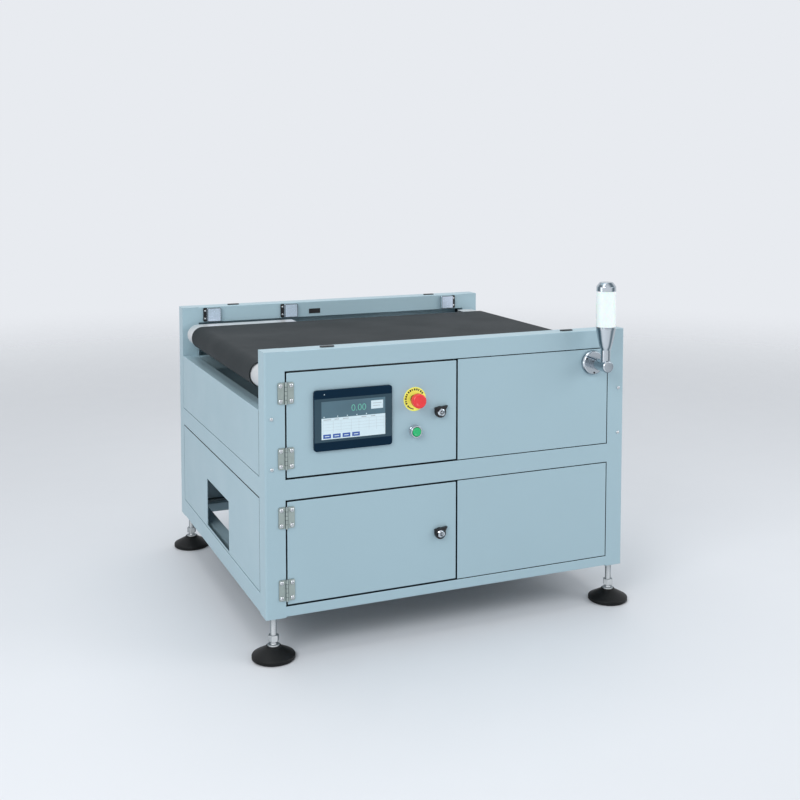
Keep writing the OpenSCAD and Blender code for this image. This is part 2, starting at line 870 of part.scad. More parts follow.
// Toothed pulley between two rims, from y upwards
module pulley(at, teeth, r, bore, y) difference() {
    union() {
        across(y, y + pulley_w) translate(at) difference() {
            circle(r);
            for (i = [1:teeth]) rotate(i * 360 / teeth) translate([r, 0]) circle(tooth_r, $fn = 24);
        }
        for (side = [y, y + pulley_w - pulley_rim])
            rod(at, 2 * (r + strap_t), side, side + pulley_rim);
    }
    rod(at, bore, y - 1, y + pulley_w + 1);
}

module drive_pulley() color(zinc) pulley([axis_x, axis_z], drive_teeth, drive_r, shaft_d, strap_y);

module motor_pulley() color(zinc) {
    pulley(motor_at, motor_teeth, motor_r, motor_shaft_d, strap_y);
    rod(motor_at, motor_shaft_d, plate_y - motor_face, strap_y + pulley_w);
}

module timing_belt() color(black) {
    y0 = strap_y + pulley_rim + strap_room;
    p = [axis_x, axis_z];
    across(y0, y0 + strap_w) difference() {
        loop_outline(p, motor_at, drive_r + pass + strap_t, motor_r + pass + strap_t);
        loop_outline(p, motor_at, drive_r + pass, motor_r + pass);
    }
}

// Finned motor with a square face, bolted to the hanger
module motor() color([0.3, 0.32, 0.34]) difference() {
    union() {
        translate([motor_at[0], 0, motor_at[1]]) across(plate_y - motor_face, plate_y)
            rounded_rect(motor_d + 2, motor_d + 2, motor_face_r);
        across(plate_y - motor_face - motor_l, plate_y - motor_face) translate(motor_at) difference() {
            circle(d = motor_d);
            for (a = [0:15:345]) rotate(a) translate([motor_d / 2, 0])
                square([fin_d, fin_gap], center = true);
        }
        rod(motor_at, motor_d - 2 * motor_cap_step,
            plate_y - motor_face - motor_l - motor_cap_l, plate_y - motor_face - motor_l);
    }
    rod(motor_at, motor_shaft_d + 2 * fit, plate_y - motor_face, plate_y + 1);
}

// Motor drive on the shelf: finned box with a back plate
module motor_drive() color([0.85, 0.86, 0.86])
    translate([inverter_x - inverter_w / 2, inverter_y, mid_top + sheet_t]) difference() {
        union() {
            cube([inverter_w, inverter_d, inverter_h]);
            translate([-ear_w, ear_y, 0]) cube([inverter_w + 2 * ear_w, ear_t, inverter_h]);
        }
        for (z = [vent_start : vent_pitch : inverter_h - vent_pitch], x = [-vent_d, inverter_w - vent_d])
            translate([x, vent_y, z]) cube([2 * vent_d, vent_l, vent_h]);
    }

// Weighing controller on the shelf: box with a row of terminals
module controller() color([0.75, 0.77, 0.75])
    translate([control_x - control_w / 2, control_y, mid_top + sheet_t]) difference() {
        union() {
            cube([control_w, control_d, control_h]);
            translate([(control_w - terminal_w) / 2, -terminal_d, terminal_z])
                cube([terminal_w, terminal_d, terminal_h]);
        }
        for (i = [0 : floor(terminal_w / terminal_pitch) - 2])
            translate([(control_w - terminal_w) / 2 + terminal_cut + i * terminal_pitch,
                       -terminal_d - 1, terminal_z + terminal_rim])
                cube([terminal_slot, terminal_cut, terminal_h - 2 * terminal_rim]);
    }

module cable_gland() color(black)
    translate([gland_at[0], rear_y, gland_at[1]]) rotate([-90, 0, 0]) difference() {
        union() {
            translate([0, 0, -sheet_t - gland_nut_h - gland_end])
                cylinder(d = gland_d, h = sheet_t + gland_nut_h + gland_end + 1);
            cylinder(d = gland_hex_d, h = gland_hex_h, $fn = 6);
            rotate_extrude() polygon(concat(
                [[0, 0], [gland_cap_d / 2, 0]],
                arc([gland_cap_d / 2 - gland_cap_r, gland_cap_l - gland_cap_r], gland_cap_r, 0, 90),
                [[0, gland_cap_l]]));
            translate([0, 0, -sheet_t - gland_nut_h]) cylinder(d = gland_hex_d, h = gland_nut_h, $fn = 6);
        }
        translate([0, 0, -sheet_t - gland_nut_h - gland_end - 1])
            cylinder(d = gland_bore, h = sheet_t + gland_nut_h + gland_end + gland_cap_l + 2);
    }

// Doors with their cut-outs
module upper_door() color(paint) {
    span = door_z(upper_bay);
    difference() {
        translate([door_x[0], front_y, span[0]]) pan(door_x[1] - door_x[0], span[1] - span[0]);
        door_hole() translate([hmi_x, hmi_z])
            square([hmi_w - 2 * hmi_lip, hmi_h - 2 * hmi_lip], center = true);
        door_hole() translate([switch_x, estop_z]) circle(d = barrel_d + 2 * pass);
        door_hole() translate([switch_x, button_z]) circle(d = barrel_d + 2 * pass);
        door_hole() translate([lock_x, upper_door_z]) circle(d = barrel_d + 2 * pass);
    }
}

module lower_door() color(paint) {
    span = door_z(lower_bay);
    difference() {
        translate([door_x[0], front_y, span[0]]) pan(door_x[1] - door_x[0], span[1] - span[0]);
        door_hole() translate([lock_x, lower_door_z]) circle(d = barrel_d + 2 * pass);
    }
}

module door_hole() across(front_y - 1, front_y + sheet_t + 1) children();

// Touch panel: bezel on the door, housing through it, glass let into the face
module hmi_case() color([0.1, 0.13, 0.16]) translate([hmi_x, 0, hmi_z]) {
    inner = [hmi_w - 2 * (hmi_lip + hmi_slack), hmi_h - 2 * (hmi_lip + hmi_slack)];
    difference() {
        across(front_y - hmi_t, front_y) rounded_rect(hmi_w, hmi_h, hmi_r);
        across(front_y - hmi_t - 1, front_y - hmi_t + glass_t) rounded_rect(screen_w, screen_h, screen_r);
    }
    across(front_y, front_y + hmi_depth) difference() {
        square(inner, center = true);
        for (x = [-hmi_vent_reach : hmi_vent_pitch : hmi_vent_reach]) translate([x, inner[1] / 2])
            square([hmi_vent, 2 * hmi_vent_d], center = true);
    }
}

module hmi_screen() color([0.09, 0.2, 0.3]) translate([hmi_x, 0, hmi_z])
    across(front_y - hmi_t + screen_sunk, front_y - hmi_t + glass_t)
        rounded_rect(screen_w, screen_h, screen_r);

// Emergency stop: plate, collar with its contact block, stem, and head that twists on the stem
module estop_plate() color([1, 0.88, 0.1])
    across(front_y - plate_out_t, front_y) translate([switch_x, estop_z]) difference() {
        circle(d = estop_plate_d);
        circle(d = barrel_d + 2 * pass);
    }

module estop_base() color(black) difference() {
    union() {
        rod([switch_x, estop_z], collar_d, front_y - collar_out, front_y - plate_out_t);
        rod([switch_x, estop_z], barrel_d, front_y - plate_out_t, front_y + barrel_l);
        contact_block(estop_z);
    }
    rod([switch_x, estop_z], stem_d + 2 * fit, front_y - collar_out - 1, front_y + block_near);
}

// Contact block on the back of a push button
module contact_block(z) translate([switch_x, 0, z])
    across(front_y + block_near, front_y + block_far) rounded_rect(block_w, block_h, block_r);

module estop_stem() color([0.75, 0.12, 0.1]) {
    rod([switch_x, estop_z], stem_d, head_y - stem_in_head, front_y + block_near - estop_stroke - 1);
    rod([switch_x, estop_z], stem_d + 2 * stem_rim, head_y + pass, head_y + stem_rim_t);
}

// Round head with a soft rim, a shallow dish in its face and a bore for the stem
module estop_head() color([0.9, 0.12, 0.1])
    translate([switch_x, head_y, estop_z]) rotate([90, 0, 0]) difference() {
        rotate_extrude() polygon(concat(
            [[0, 0], [estop_head_d / 2 - 3, 0]],
            arc([estop_head_d / 2 - 2, 2], 2, -60, 0),
            arc([estop_head_d / 2 - 4, head_t - 4], 4, 0, 90),
            [[estop_head_d / 2 - 7, head_t - head_dish / 2], [0, head_t - head_dish]]));
        translate([0, 0, -1]) cylinder(d = stem_d + 2 * fit, h = stem_in_head + 1 + pass);
    }

// Start button: ring with its contact block, and the cap that travels in it
module button_base() color(steel) difference() {
    union() {
        rod([switch_x, button_z], button_ring_d, front_y - button_out, front_y);
        rod([switch_x, button_z], barrel_d, front_y, front_y + barrel_l);
        contact_block(button_z);
    }
    rod([switch_x, button_z], button_d + 2 * fit, front_y - button_out - 1, front_y - ring_floor);
}

module start_button() color([0.05, 0.75, 0.45]) {
    out = front_y - button_out - button_stroke + cap_lift;
    translate([switch_x, out + cap_l, button_z]) rotate([90, 0, 0]) rotate_extrude() polygon(concat(
        [[0, 0], [button_d / 2, 0]],
        arc([button_d / 2 - cap_edge, cap_l - cap_edge], cap_edge, 0, 90),
        [[0, cap_l]]));
}

// Door lock: round body with a finger pull, and the plug that turns the cam
module lock_base(z) color(black) difference() {
    union() {
        rod([lock_x, z], lock_ring_d, front_y - lock_out, front_y);
        rod([lock_x, z], barrel_d, front_y, front_y + lock_barrel_l);
        translate([lock_x, 0, z]) across(front_y - lock_out + pull_step, front_y) finger_pull();
    }
    rod([lock_x, z], lock_d + 2 * fit, front_y - lock_out - 1, front_y + lock_barrel_l + 1);
}

// Straight top that ends in a wing for the fingers
module finger_pull() polygon([
    [-lock_ring_d / 2, 0],
    [-lock_ring_d / 2, pull_corner],
    [pull_l, pull_tip],
    [pull_l - pull_cut, pull_low],
    [0, 0]
]);

module lock_core(z) color(steel) {
    difference() {
        rod([lock_x, z], lock_d, front_y - lock_out - plug_out, cam_y);
        translate([lock_x - key_w / 2, front_y - lock_out - plug_out - 1, z - key_h / 2])
            cube([key_w, key_d + 1, key_h]);
    }
    translate([lock_x, 0, z]) across(cam_y, cam_y + cam_t) {
        circle(d = cam_w + 2 * cam_rim);
        translate([-cam_w / 2, -cam_l]) square([cam_w, cam_l]);
    }
}

module upper_lock_base() lock_base(upper_door_z);
module lower_lock_base() lock_base(lower_door_z);
module upper_lock_core() lock_core(upper_door_z);
module lower_lock_core() lock_core(lower_door_z);

// Lamp: flange on the panel, arm that turns in it, cone, lens and cap
module lamp_flange() color(steel) translate([lamp_x, front_y, lamp_z]) rotate([90, 0, 0]) difference() {
    rotate_extrude() polygon(concat(
        [[0, 0], [lamp_flange_d / 2, 0]],
        arc([lamp_flange_d / 2 - flange_r, lamp_flange_t - flange_r], flange_r, 0, 90),
        [[0, lamp_flange_t]]));
    translate([0, 0, spigot_floor]) cylinder(d = spigot_d + 2 * fit, h = lamp_flange_t);
}

module lamp_arm() color(steel) {
    arm_l = lamp_reach - lamp_flange_t - pass;
    difference() {
        union() {
            translate([lamp_x, front_y - lamp_flange_t - pass, lamp_z]) rotate([90, 0, 0]) rotate_extrude()
                polygon(concat(
                    [[0, 0]],
                    arc([lamp_arm_d / 2 - arm_heel_r, arm_heel_r], arm_heel_r, -90, 0),
                    arc([lamp_arm_d / 2 - arm_r, arm_l - arm_r], arm_r, 0, 90),
                    [[0, arm_l]]));
            rod([lamp_x, lamp_z], spigot_d, front_y - lamp_flange_t - pass, front_y - spigot_floor - pass);
        }
        translate([lamp_x, lamp_y, lamp_z]) cylinder(d = neck_d, h = lamp_arm_d);
    }
}

// Neck let into the arm, widening in a hollow curve to the lamp's diameter
module lamp_socket() color(steel) translate([lamp_x, lamp_y, lamp_z]) {
    flare = (lamp_d - neck_d) / 2;
    rotate_extrude() polygon(concat(
        [[0, 0], [neck_d / 2, 0], [neck_d / 2, neck_h]],
        [for (i = [1:flare_steps]) let (t = i / flare_steps)
            [neck_d / 2 + flare * pow(t, flare_power), neck_h + flare_share * cone_h * t]],
        [[lamp_d / 2, neck_h + cone_h], [0, neck_h + cone_h]]));
}

module lamp_lens() color([0.95, 0.95, 0.93])
    translate([lamp_x, lamp_y, lamp_z + neck_h + cone_h]) difference() {
        cylinder(d = lamp_d, h = lens_h);
        translate([0, 0, -1]) cylinder(d = lamp_d - 2 * lens_wall, h = lens_h + 2);
    }

module lamp_cap() color(steel) translate([lamp_x, lamp_y, lamp_z + neck_h + cone_h + lens_h])
    rotate_extrude() polygon(concat(
        [[0, 0], [lamp_d / 2, 0]],
        arc([lamp_d / 2 - cap_r, cap_h - cap_r], cap_r, 0, 90),
        [[0, cap_h]]));

// Levelling foot: stud with its hexagon and flange, on a coned pad
module stud() color(steel) {
    translate([0, 0, pad_h]) cylinder(d = 2 * foot_flange + hex_w, h = foot_flange);
    translate([0, 0, pad_h]) cylinder(d = stud_d - neck_step, h = neck_gap);
    translate([0, 0, hex_z]) cylinder(d = hex_w / cos(30), h = hex_h, $fn = 6);
    translate([0, 0, hex_z]) cylinder(d = stud_d, h = foot_gap + stud_up - hex_z);
}

module pad() color(rubber) rotate_extrude() polygon(concat(
    [[0, 0], [pad_d / 2 - pad_r, 0]],
    arc([pad_d / 2 - pad_r, pad_r], pad_r, -90, 0),
    arc([pad_d / 2 - pad_r, pad_rim - pad_r], pad_r, 0, 60),
    [[hex_w / 2 + pad_collar, pad_h - pad_r]],
    arc([hex_w / 2 + pad_collar - pad_r, pad_h - pad_r], pad_r, 0, 90),
    [[0, pad_h]]));

module foot_at(x, y) translate([x * post_x, y * post_y, 0]) children();

module front_left_stud() foot_at(-1, -1) stud();
module front_right_stud() foot_at(1, -1) stud();
module rear_left_stud() foot_at(-1, 1) stud();
module rear_right_stud() foot_at(1, 1) stud();
module front_left_pad() foot_at(-1, -1) pad();
module front_right_pad() foot_at(1, -1) pad();
module rear_left_pad() foot_at(-1, 1) pad();
module rear_right_pad() foot_at(1, 1) pad();

place() corner_posts();
place() frame_rails();
place() top_rails();
place() support_rails();
place() mid_shelf();
place() upper_end_panels();
place() lower_end_panels();
place() front_panels();
place() rear_panels();
place() hinge_frame_leaves();
place() hinge_pins();
place() panel_screws();
place() reflectors();
place() reflector_brackets();
place() photo_sensors();
place() rail_plugs();
place() load_cells();
place() conveyor_frame();
place() slider_bed();
place() nose_covers();
place() bearing_blocks();
place() belt();
place() timing_belt();
place() motor();
place() motor_drive();
place() controller();
place() cable_gland();
place() lamp_flange();
place() drive_roller();
place() drive_pulley();
place() idler_roller();
place() motor_pulley();
place() upper_door();
place() upper_hinge_leaves();
place() hmi_case();
place() hmi_screen();
place() estop_plate();
place() estop_base();
place() button_base();
place() upper_lock_base();
place() estop_stem();
place() estop_head();
place() start_button();
place() upper_lock_core();
place() lower_door();
place() lower_hinge_leaves();
place() lower_lock_base();
place() lower_lock_core();
place() lamp_arm();
place() lamp_socket();
place() lamp_lens();
place() lamp_cap();
place() front_left_stud();
place() front_right_stud();
place() rear_left_stud();
place() rear_right_stud();
place() front_left_pad();
place() front_right_pad();
place() rear_left_pad();
place() rear_right_pad();
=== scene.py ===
"""Looks of a belt checkweigher, built around its packed solids."""

import json
import math

import bmesh
import bpy
from mathutils import Matrix, Vector

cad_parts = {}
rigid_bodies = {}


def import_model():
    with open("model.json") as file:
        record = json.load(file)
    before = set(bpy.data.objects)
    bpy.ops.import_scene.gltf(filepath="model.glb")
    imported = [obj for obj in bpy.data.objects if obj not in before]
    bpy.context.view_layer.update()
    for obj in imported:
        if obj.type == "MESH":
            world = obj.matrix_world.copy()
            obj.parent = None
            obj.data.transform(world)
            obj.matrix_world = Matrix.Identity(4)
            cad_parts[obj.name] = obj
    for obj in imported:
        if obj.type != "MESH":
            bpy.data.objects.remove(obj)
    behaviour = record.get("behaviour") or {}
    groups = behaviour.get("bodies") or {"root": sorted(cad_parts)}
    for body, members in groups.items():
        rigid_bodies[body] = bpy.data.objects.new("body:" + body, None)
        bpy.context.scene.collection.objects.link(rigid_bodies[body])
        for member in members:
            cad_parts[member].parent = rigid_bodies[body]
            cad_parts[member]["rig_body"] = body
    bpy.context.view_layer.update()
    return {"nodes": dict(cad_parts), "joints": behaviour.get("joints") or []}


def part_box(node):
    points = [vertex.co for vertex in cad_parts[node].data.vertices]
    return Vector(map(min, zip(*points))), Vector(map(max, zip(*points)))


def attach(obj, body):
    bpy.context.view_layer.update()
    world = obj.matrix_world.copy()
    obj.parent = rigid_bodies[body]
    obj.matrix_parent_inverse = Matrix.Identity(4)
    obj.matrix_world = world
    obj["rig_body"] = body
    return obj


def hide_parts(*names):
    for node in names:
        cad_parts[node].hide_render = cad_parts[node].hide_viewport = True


for leftover in list(bpy.data.objects):
    bpy.data.objects.remove(leftover)
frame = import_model()

bl_info = {
    "name": "Checkweigher looks",
    "version": (1, 0, 0),
    "blender": (4, 5, 0),
    "location": "View3D > Sidebar > Checkweigher",
    "description": "Finishes and fine details of a belt checkweigher",
    "category": "Object",
}

MM = 0.001
FRONT = Vector((0, -1, 0))
BACK = Vector((0, 1, 0))
UP = Vector((0, 0, 1))
NODES = frame["nodes"]
JOINT_AT = {joint["name"]: Vector(joint["pos_m"]) for joint in frame["joints"] if "pos_m" in joint}
DOOR_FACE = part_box("upper_door")[0].y
CABINET_LOW, CABINET_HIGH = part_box("corner_posts")
CABINET_MIDDLE = (CABINET_LOW + CABINET_HIGH) / 2
FEET = ("front_left", "front_right", "rear_left", "rear_right")

# Limits by which points, edges and gaps are told apart
SAME = 1e-6
ON_AXIS = 1e-7
SHARP = math.radians(50)
FLAT = math.radians(0.4)
NEARLY_STRAIGHT = math.radians(89.5)
LONG = 300 * MM
WIDE_SHARE = 2.2
REACH_SHARE = 0.49
GAP_DEPTH = 30 * MM
GAP_MARGIN = 5 * MM
RIM = 6 * MM

# Shares of a face's normal along an axis: looks across it, towards it, straight at it
ACROSS, TOWARDS, STRAIGHT = 0.3, 0.6, 0.9

# Sizes that several details share
PRINT = 0.02 * MM
KNUCKLES = 5
BELT_THICKNESS = 3 * MM
SENSOR_WIDTH = 36
FIRST_SEED = 3


def linear(red, green, blue):
    """Linear colour of an 8-bit screen colour."""
    def channel(value):
        value /= 255
        return value / 12.92 if value <= 0.04045 else ((value + 0.055) / 1.055) ** 2.4
    return (channel(red), channel(green), channel(blue))


def colour(name, description, red, green, blue):
    return bpy.props.FloatVectorProperty(
        name=name, description=description, subtype="COLOR", size=3, min=0, max=1,
        default=linear(red, green, blue))


def length(name, description, millimetres):
    return bpy.props.FloatProperty(
        name=name, description=description, subtype="DISTANCE", unit="LENGTH", min=0, precision=5,
        default=millimetres * MM)


def angle(name, description, default):
    return bpy.props.FloatProperty(
        name=name, description=description, subtype="ANGLE", unit="ROTATION", default=default)


def number(name, description, default, low=0):
    return bpy.props.FloatProperty(name=name, description=description, min=low, default=default)


class CheckweigherColours(bpy.types.PropertyGroup):
    """Colours of the finishes."""

    paint: colour("Paint", "Powder coat of the cabinet", 163, 190, 201)
    belt: colour("Belt", "Carrying belt", 30, 37, 40)
    steel: colour("Steel", "Bright steel of covers and studs", 214, 217, 219)
    zinc: colour("Zinc", "Plating of hinges and screws", 170, 182, 177)
    chrome: colour("Chrome", "Lamp, locks and button ring", 206, 213, 219)
    black: colour("Black", "Moulded black parts", 15, 16, 19)
    bezel: colour("Bezel", "Housing of the touch panel", 0, 32, 52)
    glass: colour("Glass", "Front sheet of the touch panel", 42, 70, 84)
    display: colour("Display", "Dark part of the display", 78, 108, 122)
    table: colour("Table", "Pale part of the display", 204, 223, 231)
    key: colour("Key", "Keys on the display", 56, 88, 160)
    digits: colour("Digits", "Weight on the display", 100, 178, 158)
    yellow: colour("Yellow", "Plate of the stop button", 255, 253, 108)
    red: colour("Red", "Head of the stop button", 238, 48, 52)
    green: colour("Green", "Cap of the start button", 16, 186, 112)
    lens: colour("Lens", "Opal lens of the lamp", 240, 246, 245)
    pads: colour("Pads", "Pads of the feet", 9, 11, 12)
    floor: colour("Floor", "Floor", 226, 229, 234)
    # Painted shade: colour of the faces in the cabinet's narrow gaps and at the end panels' rims
    seam: colour("Seam", "Shade in the narrow gaps of the cabinet", 10, 30, 40)
    backdrop: colour("Backdrop", "Background behind the floor", 232, 235, 240)


class CheckweigherSizes(bpy.types.PropertyGroup):
    """Sizes of the fine details."""

    fold: length("Fold", "Radius of folded sheet edges", 2.0)
    tube: length("Tube", "Radius of the rails' edges", 1.6)
    edge: length("Edge", "Radius of small broken edges", 0.5)
    hinge_screw: length("Hinge screw", "Diameter of the hinge screws", 10.5)
    post_screw: length("Post screw", "Diameter of the screws on the posts", 9.0)
    bracket_screw: length("Bracket screw", "Diameter of the reflector screws", 6.0)
    pitch: length("Thread pitch", "Pitch of the feet's threads", 1.5)


class CheckweigherStage(bpy.types.PropertyGroup):
    """Camera and lights."""

    lens: number("Lens", "Focal length in millimetres on a 36 mm sensor", 51.532)
    shift: number("Shift", "Vertical shift of the view", -0.2, low=-1)
    place: bpy.props.FloatVectorProperty(
        name="Place", description="Camera position", subtype="TRANSLATION", unit="LENGTH", size=3,
        default=(-1.2471, -3.0041, 1.2021))
    yaw: angle("Yaw", "Camera turn to the right", 0.4023)
    pitch: angle("Pitch", "Camera tilt downwards", 0.0703)
    floor_near: length("Floor near", "Distance at which the floor starts to fade", 1600)
    floor_far: length("Floor far", "Distance at which the floor ends", 6500)
    key: number("Key", "Power of the key light", 88)
    fill: number("Fill", "Power of the fill light", 46)
    top: number("Top", "Power of the top light", 46)
    side: number("Side", "Power of the low light at the left", 5)
    ambient: number("Ambient", "Strength of the surrounding light", 0.5)


FLOAT, COLOUR, VECTOR = "NodeSocketFloat", "NodeSocketColor", "NodeSocketVector"
GEOMETRY, MATERIAL = "NodeSocketGeometry", "NodeSocketMaterial"
MIX_FACTOR, MIX_A, MIX_B, MIX_RESULT = 0, 6, 7, 2
RANDOM_LOW, RANDOM_HIGH, RANDOM_RESULT = 2, 3, 1
WHITE = (1, 1, 1, 1)

# Stretch of the grain; bands are (how far a face is turned away, how much of the dark reflection it shows)
EVEN, ALONG_X, ALONG_Y, ALONG_Z = (1, 1, 1), (0.02, 1, 1), (1, 0.02, 1), (1, 1, 0.02)
REFLECTED = (0.035, 0.075, 0.1, 1.0)
BANDS = ((0.0, 0.0), (0.14, 0.05), (0.25, 0.85), (0.38, 0.8), (0.52, 0.2), (0.75, 0.1), (1.0, 0.6))
DULL_BANDS = ((0.0, 0.0), (0.16, 0.0), (0.4, 0.55), (0.7, 0.8), (1.0, 0.9))


def add(tree, kind, sockets=None, **settings):
    """New node; an input given as a socket or a node is linked, anything else is set."""
    node = tree.nodes.new(kind)
    for key, value in settings.items():
        setattr(node, key, value)
    for key, value in (sockets or {}).items():
        if isinstance(value, bpy.types.Node):
            value = value.outputs[0]
        if isinstance(value, bpy.types.NodeSocket):
            tree.links.new(value, node.inputs[key])
        else:
            node.inputs[key].default_value = value
    return node


def new_tree(name, kind, inputs, output, output_kind):
    """New node tree with named inputs; gives the tree and its inputs."""
    tree = bpy.data.node_groups.new(name, kind)
    for label, socket, *start in inputs:
        made = tree.interface.new_socket(label, in_out="INPUT", socket_type=socket)
        if start:
            made.default_value = start[0]
    tree.interface.new_socket(output, in_out="OUTPUT", socket_type=output_kind)
    return tree, tree.nodes.new("NodeGroupInput").outputs


def end_tree(tree, value):
    add(tree, "NodeGroupOutput", {0: value})


def blend_colours(tree, factor, first, second):
    sockets = {MIX_FACTOR: factor, MIX_A: first, MIX_B: second}
    return add(tree, "ShaderNodeMix", sockets, data_type="RGBA").outputs[MIX_RESULT]


def calculate(tree, operation, *values):
    return add(tree, "ShaderNodeMath", dict(enumerate(values)), operation=operation)


def object_place(tree):
    return add(tree, "ShaderNodeTexCoord").outputs["Object"]


def face_mark(tree, name):
    """Value that marks the faces of a rounded edge, or the faces that get painted gap shade."""
    return add(tree, "ShaderNodeAttribute", attribute_name=name, attribute_type="GEOMETRY").outputs["Fac"]


def noise(tree, scale, detail, vector=None):
    sockets = {"Vector": vector or object_place(tree), "Scale": scale, "Detail": detail}
    return add(tree, "ShaderNodeTexNoise", sockets)


def spread(tree, value, low, high):
    """Stretches the middle of a noise to a range."""
    return add(tree, "ShaderNodeMapRange", {
        "Value": value, "From Min": 0.3, "From Max": 0.7, "To Min": low, "To Max": high})


def build_effects():
    """Shared surface effects, each a node group."""
    def group(name, inputs, output, output_kind=FLOAT):
        return new_tree(name, "ShaderNodeTree", inputs, output, output_kind)

    tree, given = group("mottled_colour", [
        ("Colour", COLOUR, WHITE), ("Tint", COLOUR, WHITE), ("Scale", FLOAT, 5.0), ("Share", FLOAT, 0.3)],
        "Colour", COLOUR)
    mask = spread(tree, noise(tree, given["Scale"], 4.0), 0.0, given["Share"])
    end_tree(tree, blend_colours(tree, mask, given["Colour"], given["Tint"]))

    tree, given = group("uneven_gloss", [
        ("Low", FLOAT, 0.3), ("High", FLOAT, 0.4), ("Scale", FLOAT, 8.0)], "Roughness")
    end_tree(tree, spread(tree, noise(tree, given["Scale"], 5.0), given["Low"], given["High"]))

    tree, given = group("fine_grain", [
        ("Scale", FLOAT, 400.0), ("Detail", FLOAT, 2.0), ("Stretch", VECTOR, EVEN)], "Height")
    sockets = {0: object_place(tree), 1: given["Stretch"]}
    stretched = add(tree, "ShaderNodeVectorMath", sockets, operation="MULTIPLY")
    end_tree(tree, noise(tree, given["Scale"], given["Detail"], stretched))

    tree, given = group("pebbles", [("Scale", FLOAT, 700.0)], "Height")
    sockets = {"Vector": object_place(tree), "Scale": given["Scale"]}
    end_tree(tree, add(tree, "ShaderNodeTexVoronoi", sockets, feature="SMOOTH_F1"))

    # Rounded edges in patches: an Edge colour lighter than Colour shows wear, a darker one is painted shade
    tree, given = group("thin_edges", [
        ("Colour", COLOUR, WHITE), ("Edge", COLOUR, WHITE), ("Share", FLOAT, 0.4)], "Colour", COLOUR)
    patch = spread(tree, noise(tree, 60.0, 4.0), 0.2, 1.0)
    wear_and_shade = calculate(tree, "MULTIPLY", face_mark(tree, "edge"), patch)
    share = calculate(tree, "MULTIPLY", wear_and_shade, given["Share"])
    end_tree(tree, blend_colours(tree, share, given["Colour"], given["Edge"]))


def effect(tree, name, **sockets):
    """Places one of the shared effects in a material."""
    return add(tree, "ShaderNodeGroup", sockets, node_tree=bpy.data.node_groups[name])


def side_bands(tree, bands):
    """Share of the dark reflection on a face, by how far the face is turned away."""
    facing = add(tree, "ShaderNodeLayerWeight", {"Blend": 0.5}).outputs["Facing"]
    ramp = add(tree, "ShaderNodeValToRGB", {"Fac": facing})
    stops = ramp.color_ramp.elements
    stops.remove(stops[0])
    *others, (last, last_share) = bands
    stops[0].position = last
    stops[0].color = (last_share, last_share, last_share, 1.0)
    for at, share in others:
        stops.new(at).color = (share, share, share, 1.0)
    return ramp


def shaded(rgb, share):
    """The same colour, darker below 1 and lighter above."""
    return tuple(min(1.0, channel * share) for channel in rgb[:3]) + (1.0,)


def finish(name, rgb, gloss, metallic=0.0, tint=0.85, mottle=(6, 0.5), gloss_scale=9,
           grain=None, detail=2, along=EVEN, pebbles=None, bump=0.1, edge=None, seam=None, bands=None,
           emission=0.0, **others):
    """Procedural material: mottled colour, uneven gloss and a fine relief whose height is in millimetres."""
    material = bpy.data.materials.get(name) or bpy.data.materials.new(name)
    material.use_nodes = True
    tree = material.node_tree
    tree.nodes.clear()
    sockets = {"Metallic": metallic}
    base = effect(tree, "mottled_colour", Colour=shaded(rgb, 1.0), Tint=shaded(rgb, tint),
                  Scale=mottle[0], Share=mottle[1])
    if emission:
        sockets["Emission Color"] = base
        sockets["Emission Strength"] = emission
    # Rounded edges take the edge colour: lighter for wear, darker for painted shade
    if edge:
        base = effect(tree, "thin_edges", Colour=base, Edge=shaded(rgb, edge[0]), Share=edge[1])
    # Painted shade: faces marked as looking into narrow gaps take the gap shade colour
    if seam:
        base = blend_colours(tree, face_mark(tree, "seam"), base, shaded(seam, 1.0))
    if bands:
        base = blend_colours(tree, side_bands(tree, bands), base, REFLECTED)
    sockets["Base Color"] = base
    sockets["Roughness"] = effect(tree, "uneven_gloss", Low=gloss[0], High=gloss[1], Scale=gloss_scale)
    height = None
    if grain:
        height = effect(tree, "fine_grain", Scale=grain, Detail=detail, Stretch=along)
    if pebbles:
        height = effect(tree, "pebbles", Scale=pebbles)
    if height:
        sockets["Normal"] = add(tree, "ShaderNodeBump", {
            "Height": height, "Distance": bump * MM, "Strength": 1.0})
    for socket, value in others.items():
        sockets[socket.replace("_", " ").title().replace("Ior", "IOR")] = value
    add(tree, "ShaderNodeOutputMaterial", {"Surface": add(tree, "ShaderNodeBsdfPrincipled", sockets)})
    return material


